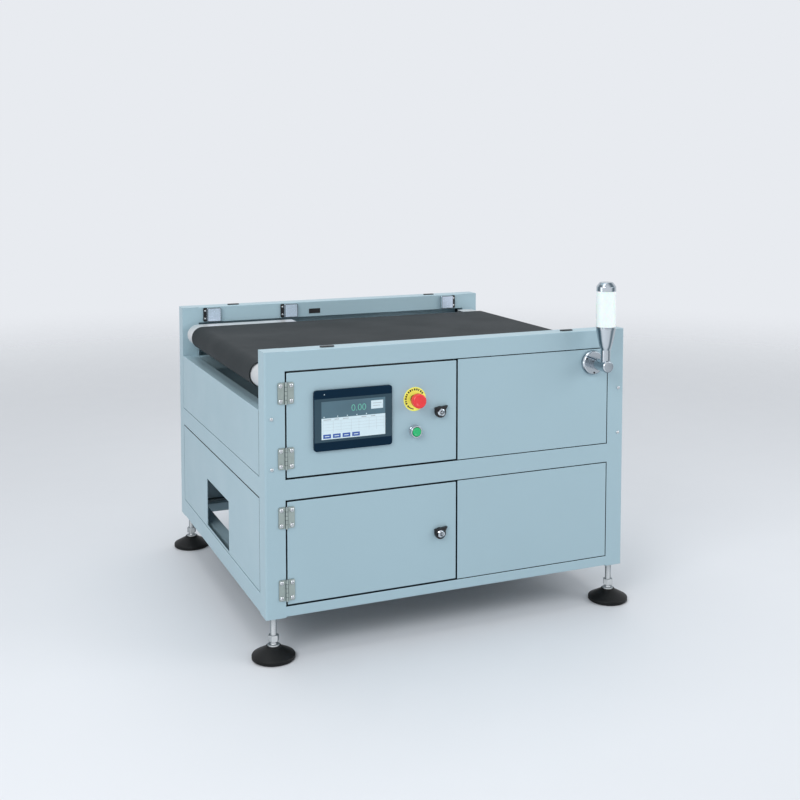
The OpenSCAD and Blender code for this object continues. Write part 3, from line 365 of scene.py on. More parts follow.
class CHECKWEIGHER_OT_finishes(bpy.types.Operator):
    """Builds every finish of the machine"""

    bl_idname = "checkweigher.finishes"
    bl_label = "Finishes"

    def execute(self, context):
        tones = context.scene.checkweigher_colours
        build_effects()
        # Cabinet paint with painted shade in its narrow gaps
        finish("cabinet_paint", tones.paint, (0.36, 0.46), tint=0.95, mottle=(2.2, 0.8), grain=420,
               bump=0.022, edge=(1.22, 0.55), seam=tones.seam, coat_weight=0.12, coat_roughness=0.25)
        finish("galvanised", (0.42, 0.43, 0.44), (0.34, 0.55), 1, tint=0.7, mottle=(70, 0.7),
               gloss_scale=90, grain=160, bump=0.02)
        # Hinge zinc: its darker rounded edges are painted shade
        finish("hinge_zinc", tones.zinc, (0.3, 0.46), 0.85, tint=0.78, mottle=(80, 0.6), gloss_scale=140,
               grain=900, along=ALONG_Z, bump=0.02, edge=(0.45, 0.7), bands=DULL_BANDS)
        finish("steel_pin", tones.steel, (0.2, 0.3), 1, mottle=(120, 0.4), grain=900, along=ALONG_Z,
               bump=0.008)
        finish("reflector_face", (0.66, 0.82, 0.96), (0.12, 0.3), 0.25, tint=0.82, mottle=(220, 0.9),
               gloss_scale=300, pebbles=420, bump=0.3, coat_weight=0.5, coat_roughness=0.08,
               thin_film_thickness=480, thin_film_ior=1.7)
        finish("black_plastic", tones.black, (0.38, 0.52), tint=1.5, mottle=(30, 0.5), pebbles=1500,
               bump=0.05, edge=(2.4, 0.35))
        finish("cell_alloy", (0.6, 0.61, 0.63), (0.32, 0.44), 1, mottle=(40, 0.3), grain=800, along=ALONG_X,
               bump=0.02, edge=(1.2, 0.5))
        finish("conveyor_steel", tones.steel, (0.34, 0.46), 0.55, tint=0.9, mottle=(9, 0.5), gloss_scale=25,
               grain=700, detail=3, along=ALONG_X, bump=0.02, edge=(1.15, 0.5))
        finish("bearing_iron", (0.16, 0.17, 0.18), (0.45, 0.6), 0.6, mottle=(60, 0.6), grain=500, detail=4,
               bump=0.12, edge=(2.0, 0.5))
        # Belt: its darker rounded edges are painted shadow of the gap beside the belt
        finish("belt_rubber", tones.belt, (0.58, 0.7), tint=0.88, mottle=(3.2, 0.5), gloss_scale=5,
               pebbles=620, bump=0.16, edge=(0.7, 0.6), specular_ior_level=0.2)
        finish("strap_rubber", (0.02, 0.02, 0.021), (0.55, 0.7), mottle=(40, 0.5), pebbles=1300, bump=0.05)
        finish("motor_paint", (0.05, 0.055, 0.06), (0.4, 0.55), 0.2, mottle=(40, 0.5), grain=500, detail=3,
               edge=(2.0, 0.4))
        finish("drive_plastic", (0.62, 0.63, 0.62), (0.42, 0.52), tint=0.93, pebbles=1400, bump=0.04)
        finish("controller_plastic", (0.42, 0.45, 0.43), (0.42, 0.54), tint=0.92, pebbles=1400, bump=0.04)
        finish("drum_steel", (0.55, 0.56, 0.57), (0.24, 0.36), 1, mottle=(20, 0.3), grain=900,
               along=ALONG_Y, bump=0.02)
        finish("pulley_alloy", (0.58, 0.59, 0.61), (0.3, 0.42), 1, mottle=(60, 0.4), grain=700, bump=0.02)
        finish("hmi_plastic", tones.bezel, (0.3, 0.4), tint=1.25, mottle=(12, 0.5), pebbles=1700, bump=0.02,
               edge=(2.2, 0.4), specular_ior_level=0.12)
        finish("screen_glass", tones.glass, (0.07, 0.12), tint=0.86, mottle=(9, 0.7), gloss_scale=14,
               coat_weight=0.25, coat_roughness=0.05, specular_ior_level=0.3)
        finish("signal_yellow", tones.yellow, (0.26, 0.36), tint=0.97, mottle=(40, 0.5), grain=700,
               bump=0.01, coat_weight=0.1, coat_roughness=0.15)
        finish("signal_red", tones.red, (0.24, 0.34), tint=0.86, mottle=(50, 0.5), grain=700, bump=0.012,
               edge=(1.3, 0.4), coat_weight=0.3, coat_roughness=0.12)
        finish("signal_green", tones.green, (0.2, 0.3), mottle=(60, 0.5), grain=600, bump=0.012,
               coat_weight=0.4, coat_roughness=0.1)
        for name in ("button_chrome", "lock_chrome", "lamp_chrome"):
            finish(name, tones.chrome, (0.06, 0.15), 1, tint=0.93, mottle=(14, 0.4), gloss_scale=45,
                   grain=300, bump=0.004, bands=BANDS)
        finish("lamp_white", tones.lens, (0.2, 0.28), tint=0.96, mottle=(12, 0.5), grain=260, bump=0.02,
               emission=0.1, subsurface_weight=0.25, subsurface_scale=0.01, coat_weight=0.4,
               coat_roughness=0.08)
        finish("foot_steel", tones.steel, (0.28, 0.38), 0.35, tint=0.96, mottle=(90, 0.4), gloss_scale=120,
               grain=800, along=ALONG_Z, bump=0.004, edge=(1.1, 0.5), bands=DULL_BANDS)
        finish("foot_rubber", tones.pads, (0.46, 0.6), tint=1.5, mottle=(22, 0.5), pebbles=900, bump=0.09,
               specular_ior_level=0.25)
        glossy = (0.1, 0.16)
        finish("display_dark", tones.display, glossy, tint=0.78, mottle=(7, 0.9), emission=0.18)
        finish("display_pale", tones.table, glossy, tint=0.94, mottle=(30, 0.6), emission=0.12)
        finish("display_line", (0.46, 0.53, 0.57), glossy, tint=0.8, mottle=(300, 0.6), emission=0.1)
        finish("display_key", tones.key, glossy, tint=0.7, mottle=(120, 0.7), emission=0.2)
        finish("display_digits", tones.digits, glossy, tint=0.9, mottle=(200, 0.5), emission=0.2)
        finish("mark_black", (0.012, 0.012, 0.012), (0.34, 0.46), tint=1.6, mottle=(300, 0.6))
        return {"FINISHED"}


def body_of(node):
    return NODES[node]["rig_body"]


def slot_of(node):
    return NODES[node].data.materials[0].name


def centre_of(node):
    low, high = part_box(node)
    return (low + high) / 2


def span(node):
    """Size of a CAD node along X, Y and Z, in millimetres."""
    return [(high - low) / MM for low, high in zip(*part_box(node))]


def seat(node, axis, middle=None):
    """Place at the end of a CAD node from which a turned part starts, in its middle or in another node's."""
    at = centre_of(middle or node)
    if axis == UP:
        at.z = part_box(node)[0].z
    else:
        at.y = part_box(node)[1].y
    return at


def merged(node):
    """Welded copy of a CAD node's mesh with its flat faces joined."""
    bm = bmesh.new()
    bm.from_mesh(NODES[node].data)
    bmesh.ops.remove_doubles(bm, verts=bm.verts, dist=SAME)
    bmesh.ops.dissolve_limit(bm, angle_limit=FLAT, verts=bm.verts, edges=bm.edges)
    return bm


def islands(node):
    """Boxes of a CAD node's separate solids as (low, high), sorted by their low corners."""
    bm = merged(node)
    left = set(bm.verts)
    boxes = []
    while left:
        stack = [left.pop()]
        group = list(stack)
        while stack:
            near = {vert for edge in stack.pop().link_edges for vert in edge.verts if vert in left}
            left -= near
            group += near
            stack += near
        low = Vector([min(vert.co[axis] for vert in group) for axis in range(3)])
        high = Vector([max(vert.co[axis] for vert in group) for axis in range(3)])
        boxes.append((low, high))
    bm.free()
    return sorted(boxes, key=lambda box: [round(value, 5) for value in box[0]])


def outer_edge(edge):
    """True for a sharp outer edge of one solid."""
    return (len(edge.link_faces) == 2 and edge.is_convex and edge.calc_face_angle() > SHARP
            and all(vert.is_manifold for vert in edge.verts))


def long_edge(edge):
    """True for an outer edge along a rail; the ends of rails are welded flush."""
    return edge.calc_length() > LONG and outer_edge(edge)


def post_end(edge):
    """True for an edge round the top or underside of a post that faces outwards."""
    if len(edge.link_faces) != 2 or not edge.is_convex:
        return False
    first, second = (vert.co for vert in edge.verts)
    way = (first + second) / 2 - CABINET_MIDDLE
    side = min((face.normal for face in edge.link_faces), key=lambda normal: abs(normal.z))
    level = max(abs(face.normal.z) for face in edge.link_faces)
    outwards = max(side.x * math.copysign(1, way.x), side.y * math.copysign(1, way.y))
    return abs(first.z - second.z) <= SAME and level > STRAIGHT and outwards > ACROSS


def wide_edge(width):
    """Rule for the outer edges between two faces that leave room for a rounding."""
    def face_width(face):
        return face.calc_area() / max(edge.calc_length() for edge in face.edges)

    def rule(edge):
        return outer_edge(edge) and min(face_width(face) for face in edge.link_faces) > WIDE_SHARE * width
    return rule


def round_edges(bm, rule, width, segments=3):
    """Rounds the edges that a rule picks and marks the new faces."""
    layer = bm.faces.layers.float.new("edge")
    edges = [edge for edge in bm.edges if rule(edge)]
    made = bmesh.ops.bevel(bm, geom=edges, offset=width, offset_type="OFFSET", segments=segments,
                           profile=0.5, affect="EDGES", clamp_overlap=True)
    for face in made["faces"]:
        face[layer] = 1.0


def softened(node, width, rule=None):
    """Copy of a CAD node with its outer edges rounded, or only those that a rule picks."""
    bm = merged(node)
    if width:
        round_edges(bm, rule or wide_edge(width), width)
    return bm


def mark_gap_shade(bm, node, back):
    """Marks the faces that look into narrow gaps, at the front only or at the back as well, for painted
    shade.
    """
    layer = bm.faces.layers.float.new("seam")
    low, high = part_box(node)
    for face in bm.faces:
        at, way = face.calc_center_median(), face.normal
        deep = at.y - CABINET_LOW.y
        if back:
            deep = min(deep, CABINET_HIGH.y - at.y)
        inside = all(CABINET_LOW[i] + GAP_MARGIN < at[i] < CABINET_HIGH[i] - GAP_MARGIN for i in (0, 2))
        dark = inside and abs(way.y) < ACROSS and 0 < deep < GAP_DEPTH
        # Painted shade also on the end panels' faces near their rims, on their undersides and on the lower
        # panels' top rim
        if "end_panels" in node:
            dark |= abs(way.y) > TOWARDS and min(at.y - low.y, high.y - at.y) < RIM
            dark |= way.z < -TOWARDS and at.z - low.z < RIM
            dark |= way.z > TOWARDS and high.z - at.z < RIM and node == "lower_end_panels"
        if dark:
            face[layer] = 1.0


def settle(name, mesh, body, slot, *nodes, smooth=40.0):
    """Makes a mesh into a piece of the machine that rides on a body and stands for CAD nodes."""
    mesh.shade_smooth()
    mesh.set_sharp_from_angle(angle=math.radians(smooth))
    made = bpy.data.objects.new(name, mesh)
    bpy.context.scene.collection.objects.link(made)
    made.modifiers.new("even_normals", "WEIGHTED_NORMAL").keep_sharp = True
    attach(made, body)
    if nodes:
        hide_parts(*nodes)
    return made


def plain_mesh(name, bm):
    mesh = bpy.data.meshes.new(name)
    bm.to_mesh(mesh)
    bm.free()
    return mesh


def piece(name, bm, body, slot, *nodes, finishes=None):
    """Piece from a mesh under work, in the finish of its slot or in finishes of its own."""
    mesh = plain_mesh(name, bm)
    for finish_name in finishes or (slot,):
        mesh.materials.append(bpy.data.materials[finish_name])
    return settle(name, mesh, body, slot, *nodes)


def stand_in(name, bm, node, finishes=None):
    """Piece that takes the place of a CAD node."""
    return piece(name, bm, body_of(node), slot_of(node), node, finishes=finishes)


def dress(node, width):
    """Softened copy that takes the place of a CAD node."""
    return stand_in(node + "_finished", softened(node, width), node)


def corner_arc(before, corner, after, radius, steps):
    """Points of a corner rounded to a radius."""
    to_before, to_after = before - corner, after - corner
    half = to_before.angle(to_after) / 2
    if radius <= 0 or half > NEARLY_STRAIGHT:
        return [corner]
    room = REACH_SHARE * min(to_before.length, to_after.length)
    reach = min(radius / math.tan(half), room)
    radius = reach * math.tan(half)
    to_before.normalize()
    to_after.normalize()
    centre = corner + (to_before + to_after).normalized() * (radius / math.sin(half))
    start = corner + to_before * reach - centre
    end = corner + to_after * reach - centre
    turn = start.angle_signed(end)
    return [centre + Matrix.Rotation(-turn * step / steps, 2) @ start for step in range(steps + 1)]


def rounded(corners, closed=False, steps=6):
    """Outline of (x, y, radius) corners in millimetres, each rounded to its radius, in metres."""
    points = [Vector((x, y)) * MM for x, y, _ in corners]
    outline = []
    count = len(points)
    for i, (_, _, radius) in enumerate(corners):
        if not closed and i in (0, count - 1):
            outline.append(points[i])
        else:
            outline += corner_arc(points[i - 1], points[i], points[(i + 1) % count], radius * MM, steps)
    return outline


def rectangle(x0, z0, x1, z1, radius):
    """Rectangle in metres, its corners rounded to a radius in millimetres."""
    corners = [(x / MM, z / MM, radius) for x, z in ((x0, z0), (x1, z0), (x1, z1), (x0, z1))]
    return rounded(corners, closed=True)


def lathe(corners, origin, axis, segments, ring=False, steps=6):
    """Mesh turned about an axis from (radius, height, rounding) corners; a ring's outline is closed."""
    turn = UP.rotation_difference(axis).to_matrix()
    bm = bmesh.new()
    rows = []
    for radius, height in rounded(corners, ring, steps):
        row = []
        for step in range(1 if radius < ON_AXIS else segments):
            around = math.tau * step / segments
            row.append(bm.verts.new(origin + turn @ Vector((
                radius * math.cos(around), radius * math.sin(around), height))))
        rows.append(row)
    for lower, upper in zip(rows, rows[1:] + rows[:1] if ring else rows[1:]):
        for step in range(segments):
            ahead = (step + 1) % segments
            face = [lower[step % len(lower)], lower[ahead % len(lower)],
                    upper[ahead % len(upper)], upper[step % len(upper)]]
            face = list(dict.fromkeys(face))
            if len(face) > 2:
                bm.faces.new(face)
    bmesh.ops.recalc_face_normals(bm, faces=bm.faces)
    return bm


def turned(name, node, axis, corners, ring=False, steps=6, segments=128, at=None):
    """Turned piece that takes the place of a CAD node, from one of its ends or from a given point."""
    start = seat(node, axis) if at is None else at
    return stand_in(name, lathe(corners, start, axis, segments, ring, steps), node)


def walls(bm, rows):
    """Faces between each ring of corners and the next."""
    for near, far in zip(rows, rows[1:]):
        for i in range(len(near)):
            j = (i + 1) % len(near)
            bm.faces.new((near[i], near[j], far[j], far[i]))


def prism(first, last):
    """Solid between two outlines with as many points."""
    bm = bmesh.new()
    rows = [[bm.verts.new(point) for point in outline] for outline in (first, last)]
    bm.faces.new(rows[0])
    bm.faces.new(list(reversed(rows[1])))
    walls(bm, rows)
    bmesh.ops.recalc_face_normals(bm, faces=bm.faces)
    return bm


def together(*parts):
    """One mesh from several."""
    whole = bmesh.new()
    for part in parts:
        mesh = plain_mesh("part", part)
        whole.from_mesh(mesh)
        bpy.data.meshes.remove(mesh)
    return whole


def thickened(bm):
    """Gives flat printed marks that look to the front their thickness."""
    made = bmesh.ops.extrude_face_region(bm, geom=bm.faces[:], use_keep_orig=True)
    for item in made["geom"]:
        if isinstance(item, bmesh.types.BMVert):
            item.co.y += PRINT
    bmesh.ops.recalc_face_normals(bm, faces=bm.faces)
    return bm


def growing_tree(name, *inputs):
    """New geometry node tree with named inputs and a finish."""
    sockets = [("Geometry", GEOMETRY), *inputs, ("Finish", MATERIAL)]
    tree, given = new_tree(name, "GeometryNodeTree", sockets, "Geometry", GEOMETRY)
    tree.is_modifier = True
    return tree, given


def grown_tree(tree, geometry, given):
    """Ends a geometry tree with plain geometry in its finish."""
    real = add(tree, "GeometryNodeRealizeInstances", {"Geometry": geometry})
    end_tree(tree, add(tree, "GeometryNodeSetMaterial", {"Geometry": real, "Material": given["Finish"]}))
    return tree


def final_mesh(source):
    """Plain mesh of an object with all that its settings make of it; the object is removed."""
    name = source.name
    bpy.context.scene.collection.objects.link(source)
    bpy.context.view_layer.update()
    graph = bpy.context.evaluated_depsgraph_get()
    made = bpy.data.meshes.new_from_object(source.evaluated_get(graph), depsgraph=graph)
    bpy.data.objects.remove(source)
    if not made.polygons:
        raise RuntimeError(name + " made no faces")
    return made


def grown(name, tree, finish_name, values, points=None):
    """Plain mesh that a node tree makes from named values, and from points if it needs them."""
    values = dict(values, Finish=bpy.data.materials[finish_name])
    source = bpy.data.objects.new(name + "_source", points or bpy.data.meshes.new(name + "_start"))
    modifier = source.modifiers.new("grow", "NODES")
    modifier.node_group = tree
    for item in tree.interface.items_tree:
        if item.in_out == "INPUT" and item.name in values:
            modifier[item.identifier] = values[item.name]
    made = final_mesh(source)
    made.name = name
    return made


WELDED = {
    "corner_posts": post_end, "frame_rails": long_edge, "top_rails": long_edge, "support_rails": long_edge,
}
FOLDED = ("upper_end_panels", "lower_end_panels", "front_panels", "rear_panels", "upper_door", "lower_door")


class CHECKWEIGHER_OT_cabinet(bpy.types.Operator):
    """Rounds the folded edges of the cabinet, its panels and its doors, and marks faces in their narrow gaps
    for painted shade
    """

    bl_idname = "checkweigher.cabinet"
    bl_label = "Cabinet"

    def execute(self, context):
        sizes = context.scene.checkweigher_sizes
        for node in (*WELDED, *FOLDED):
            rule = WELDED.get(node)
            bm = softened(node, sizes.tube if rule else sizes.fold, rule)
            # Faces in narrow gaps are marked to take painted shade
            mark_gap_shade(bm, node, back=not rule)
            stand_in(node + "_finished", bm, node)
        return {"FINISHED"}


class CHECKWEIGHER_OT_hinges(bpy.types.Operator):
    """Breaks the edges of the hinge leaves and pins, and sets dark washers between the knuckles as painted
    shade of the gaps between them
    """

    bl_idname = "checkweigher.hinges"
    bl_label = "Hinges"

    def execute(self, context):
        sizes = context.scene.checkweigher_sizes
        for node in ("hinge_frame_leaves", "upper_hinge_leaves", "lower_hinge_leaves", "hinge_pins"):
            dress(node, sizes.edge)
        # Dark washers stand for painted shade in the gaps between the knuckles
        shade_washer = [(1.5, -0.45, 0), (3.56, -0.45, 0), (3.56, 0.45, 0), (1.5, 0.45, 0)]
        head = 1 * MM
        for i, (low, high) in enumerate(islands("hinge_pins")):
            row = (high.z - low.z - 2 * head) / KNUCKLES
            at = (low + high) / 2
            rings = [lathe(shade_washer, Vector((at.x, at.y, low.z + head + row * knuckle)), UP, 32, ring=True)
                     for knuckle in range(1, KNUCKLES)]
            piece("hinge_washers_%d" % (i + 1), together(*rings), "cabinet", "black_plastic")
        return {"FINISHED"}


def belt_tree():
    """Loop round two rollers, swept from a flat section with rounded edges."""
    tree, given = growing_tree(
        "belt_loop", ("Axis distance", FLOAT), ("Radius", FLOAT), ("Width", FLOAT), ("Thickness", FLOAT))
    circle = add(tree, "GeometryNodeCurvePrimitiveCircle", {
        "Resolution": 160, "Radius": given["Radius"]}, mode="RADIUS")
    x = add(tree, "ShaderNodeSeparateXYZ", {"Vector": add(tree, "GeometryNodeInputPosition")})
    shift = calculate(tree, "MULTIPLY", calculate(tree, "SIGN", x), given["Axis distance"])
    offset = add(tree, "ShaderNodeCombineXYZ", {"X": shift})
    loop = add(tree, "GeometryNodeSetPosition", {"Geometry": circle, "Offset": offset})
    level = add(tree, "GeometryNodeSetCurveNormal", {"Curve": loop}, mode="Z_UP")
    section = add(tree, "GeometryNodeCurvePrimitiveQuadrilateral", {
        "Width": given["Thickness"], "Height": given["Width"]}, mode="RECTANGLE")
    rim = add(tree, "GeometryNodeFilletCurve", {
        "Curve": section, "Radius": 0.9 * MM, "Count": 3}, mode="POLY")
    sweep = add(tree, "GeometryNodeCurveToMesh", {"Curve": level, "Profile Curve": rim})
    upright = add(tree, "GeometryNodeTransform", {"Geometry": sweep, "Rotation": (math.pi / 2, 0, 0)})
    return grown_tree(tree, upright, given)


# Rounding of each covered node's edges in millimetres
COVERED = {
    "nose_covers": 0.6, "conveyor_frame": 0.8, "slider_bed": 0.5, "bearing_blocks": 0.8, "load_cells": 0.8,
    "drive_roller": 0.6, "idler_roller": 0.6, "drive_pulley": 0.0, "motor_pulley": 0.0, "timing_belt": 0.3,
    "motor": 0.6, "motor_drive": 1.2, "controller": 1.2, "mid_shelf": 0.0, "cable_gland": 0.5,
}


class CHECKWEIGHER_OT_conveyor(bpy.types.Operator):
    """Lays the belt round its rollers and breaks the edges of the drive and the frame"""

    bl_idname = "checkweigher.conveyor"
    bl_label = "Conveyor"

    def execute(self, context):
        low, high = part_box("belt")
        mesh = grown("carrying_belt", belt_tree(), "belt_rubber", {
            "Axis distance": centre_of("drive_roller").x, "Radius": (high.z - low.z - BELT_THICKNESS) / 2,
            "Width": high.y - low.y, "Thickness": BELT_THICKNESS})
        mesh.transform(Matrix.Translation(centre_of("belt")))
        settle("carrying_belt", mesh, body_of("belt"), "belt_rubber", "belt")
        for node, width in COVERED.items():
            dress(node, width * MM)
        return {"FINISHED"}


def on_face(centre, radius, degrees, y):
    """Point at a radius and an angle about a centre, on a face that looks to the front."""
    around = math.radians(degrees)
    return Vector((centre.x + radius * math.cos(around), y, centre.z + radius * math.sin(around)))


def flat_mark(bm, points, index=0):
    bm.faces.new([bm.verts.new(point) for point in points]).material_index = index


def arc_mark(bm, centre, y, radius, wide, start, end, steps):
    """Flat band along an arc."""
    angles = [start + (end - start) * step / steps for step in range(steps + 1)]
    inner, outer = [[bm.verts.new(on_face(centre, reach, degrees, y)) for degrees in angles]
                    for reach in (radius - wide / 2, radius + wide / 2)]
    for step in range(steps):
        bm.faces.new((inner[step], outer[step], outer[step + 1], inner[step + 1]))


DISPLAY = ("display_dark", "display_pale", "display_line", "display_key", "display_digits")
DARK, PALE, LINE, KEY, DIGITS = range(len(DISPLAY))
LAYER = 0.03 * MM


def display_marks():
    """Patches of the display: left, top, right and bottom in shares of its size, finish, layer."""
    yield 0.0, 0.0, 1.0, 1.0, DARK, 0
    yield 0.0, 0.44, 1.0, 1.0, PALE, 1
    yield 0.0, 0.515, 1.0, 0.52, LINE, 2
    for row in (0.60, 0.68, 0.76):
        yield 0.02, row, 0.98, row + 0.004, LINE, 2
    for column in (0.02, 0.18, 0.30, 0.46, 0.58, 0.74, 0.86, 0.977):
        yield column, 0.52, column + 0.003, 0.84, LINE, 2
    for start, end in ((0.03, 0.15), (0.20, 0.27), (0.33, 0.42), (0.62, 0.70), (0.77, 0.84)):
        yield start, 0.465, end, 0.495, LINE, 2
    for left in (0.0, 0.15, 0.30, 0.45):
        yield left + 0.025, 0.865, left + 0.145, 0.975, KEY, 2
        yield left + 0.05, 0.91, left + 0.12, 0.93, PALE, 3
    yield 0.775, 0.07, 0.965, 0.29, PALE, 1
    yield 0.80, 0.13, 0.94, 0.15, LINE, 2
    yield 0.80, 0.20, 0.92, 0.22, LINE, 2


def weight_digits(tall):
    """Flat digits of a weight, as high as a given size."""
    text = bpy.data.curves.new("weight", "FONT")
    text.body = "0.00"
    text.size = tall
    text.offset = -0.3 * MM
    text.align_x = "CENTER"
    return final_mesh(bpy.data.objects.new("weight", text))


class CHECKWEIGHER_OT_touch_panel(bpy.types.Operator):
    """Builds the front sheet of the touch panel and what its display shows"""

    bl_idname = "checkweigher.touch_panel"
    bl_label = "Touch panel"

    def execute(self, context):
        body = body_of("hmi_case")
        dress("hmi_case", 1.4 * MM)
        low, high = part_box("hmi_case")
        face = low.y
        light_at = Vector((low.x + 26 * MM, face, high.z - 10.5 * MM))

        tall, margin = high.z - low.z, 0.8 * MM
        outline = rectangle(low.x + margin, low.z + 0.145 * tall, high.x - margin, high.z - 0.14 * tall, 0.6)
        front, back = face - 0.25 * MM, face + 0.2 * MM
        sheet = prism([(x, front, z) for x, z in outline], [(x, back, z) for x, z in outline])
        round_edges(sheet, lambda edge: all(abs(vert.co.y - front) < ON_AXIS for vert in edge.verts),
                    0.15 * MM, segments=2)
        piece("panel_sheet", sheet, body, "screen_glass")

        low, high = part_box("hmi_screen")
        wide, tall = high.x - low.x, high.z - low.z
        front = face - 0.3 * MM
        bm = bmesh.new()
        for left, top, right, bottom, index, layer in display_marks():
            x0, x1 = low.x + left * wide, low.x + right * wide
            z0, z1 = high.z - bottom * tall, high.z - top * tall
            y = front - layer * LAYER
            flat_mark(bm, ((x0, y, z0), (x1, y, z0), (x1, y, z1), (x0, y, z1)), index)
        for share in (0.04, 0.25, 0.40, 0.55, 0.70):
            dot = Vector((low.x + share * wide, 0, high.z - 0.405 * tall))
            flat_mark(bm, [on_face(dot, 1.3 * MM, 18 * step, front - 0.04 * MM) for step in range(20)], PALE)
        digits = weight_digits(0.25 * tall)
        place = Matrix.Translation((low.x + 0.58 * wide, front - 0.05 * MM, high.z - 0.30 * tall))
        digits.transform(place @ Matrix.Rotation(math.pi / 2, 4, "X"))
        start = len(bm.faces)
        bm.from_mesh(digits)
        bm.faces.ensure_lookup_table()
        for mark in bm.faces[start:]:
            mark.material_index = DIGITS
        stand_in("panel_display", thickened(bm), "hmi_screen", DISPLAY)

        dome = lathe([(0, -0.2, 0), (1.2, -0.2, 0), (1.2, 0.35, 0.3), (0, 0.4, 0)], light_at, FRONT, 24)
        piece("panel_light", dome, body, "screen_glass", finishes=["display_pale"])
        return {"FINISHED"}


class CHECKWEIGHER_OT_stop_button(bpy.types.Operator):
    """Builds the emergency stop: plate with turning arrows, collar, stem and head"""

    bl_idname = "checkweigher.stop_button"
    bl_label = "Stop button"

    def execute(self, context):
        _, thick, tall = span("estop_plate")
        bore, radius = 11.3, tall / 2
        turned("stop_plate", "estop_plate", FRONT, [
            (bore, 0, 0), (radius, 0, 0), (radius, thick, 0.5), (bore, thick, 0.2)], ring=True, segments=96,
            at=seat("estop_plate", FRONT, "estop_head"))

        centre = centre_of("estop_head")
        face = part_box("estop_plate")[0].y - 0.04 * MM
        middle, arrow, block = 24.6 * MM, 2.6 * MM, 5 * MM
        bm = bmesh.new()
        for start, end in ((338, 300), (262, 224)):
            arc_mark(bm, centre, face, middle, arrow, start, end, 14)
            tip = [(middle - 1.3 * arrow, end), (middle + 1.3 * arrow, end), (middle, end - 9)]
            flat_mark(bm, [on_face(centre, reach, degrees, face) for reach, degrees in tip])
        for i in range(13):
            start = 208 - 14 * i
            arc_mark(bm, centre, face, middle, block, start, start - (6.5 if i % 3 == 1 else 9.5), 2)
        piece("stop_arrows", thickened(bm), body_of("estop_plate"), "black_plastic", finishes=["mark_black"])

        dress("estop_base", 0.8 * MM)
        dress("estop_stem", 0.6 * MM)
        _, thick, tall = span("estop_head")
        radius = tall / 2
        turned("stop_head", "estop_head", FRONT, [
            (0, 8.4, 0), (6.1, 8.4, 0), (6.1, 0, 0), (radius - 3, 0, 0.8), (radius - 0.6, 1.6, 1.0),
            (radius, 5.0, 4.0), (radius, thick, 4.2), (radius - 7, thick - 0.3, 2.0), (8, thick - 1.3, 4.0),
            (0, thick - 1.4, 0)], steps=8)
        return {"FINISHED"}


class CHECKWEIGHER_OT_start_button(bpy.types.Operator):
    """Builds the start button: chrome ring with its grip groove, and the green cap"""

    bl_idname = "checkweigher.start_button"
    bl_label = "Start button"

    def execute(self, context):
        _, thick, tall = span("start_button")
        radius = tall / 2
        outer = radius + 4.5
        groove = outer - 0.8
        out = (DOOR_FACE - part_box("button_base")[0].y) / MM
        at = centre_of("start_button")
        at.y = DOOR_FACE
        ring = lathe([
            (radius + 0.1, 1.5, 0), (outer, 0, 0.3), (outer, out * 0.28, 0.2), (groove, out * 0.32, 0.2),
            (groove, out * 0.42, 0.2), (outer, out * 0.46, 0.2), (outer, out, 1.4), (radius + 1.4, out, 1.0),
            (radius + 0.4, out - 1.4, 0.4), (radius + 0.1, out - 2, 0)], at, FRONT, 128, ring=True)
        block = softened("button_base", 0)
        shown = [vert for vert in block.verts if vert.co.y < DOOR_FACE - 0.2 * MM]
        bmesh.ops.delete(block, geom=shown, context="VERTS")
        bmesh.ops.holes_fill(block, edges=[edge for edge in block.edges if edge.is_boundary])
        for face in block.faces:
            face.material_index = 1
        stand_in("start_ring", together(ring, block), "button_base", ["button_chrome", "black_plastic"])
        turned("start_cap", "start_button", FRONT, [
            (0, 0, 0), (radius, 0, 0.3), (radius, thick, 1.5), (radius - 4, thick, 1.0),
            (radius - 5, thick - 0.5, 0.6), (0, thick - 0.5, 0)], segments=96)
        return {"FINISHED"}


class CHECKWEIGHER_OT_locks(bpy.types.Operator):
    """Rounds the door locks and sets a dark ring round each keyway"""

    bl_idname = "checkweigher.locks"
    bl_label = "Locks"

    def execute(self, context):
        groove = [(3.2, -0.4, 0), (4.9, -0.4, 0), (4.9, 0.25, 0.2), (3.2, 0.25, 0.2)]
        for door in ("upper", "lower"):
            core = door + "_lock_core"
            dress(door + "_lock_base", 1.2 * MM)
            dress(core, 0.8 * MM)
            at = JOINT_AT[door + "_lock_turn"].copy()
            at.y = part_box(core)[0].y
            ring = lathe(groove, at, FRONT, 48, ring=True)
            piece(door + "_lock_keyway", ring, body_of(core), "lock_chrome", finishes=["mark_black"])
        return {"FINISHED"}


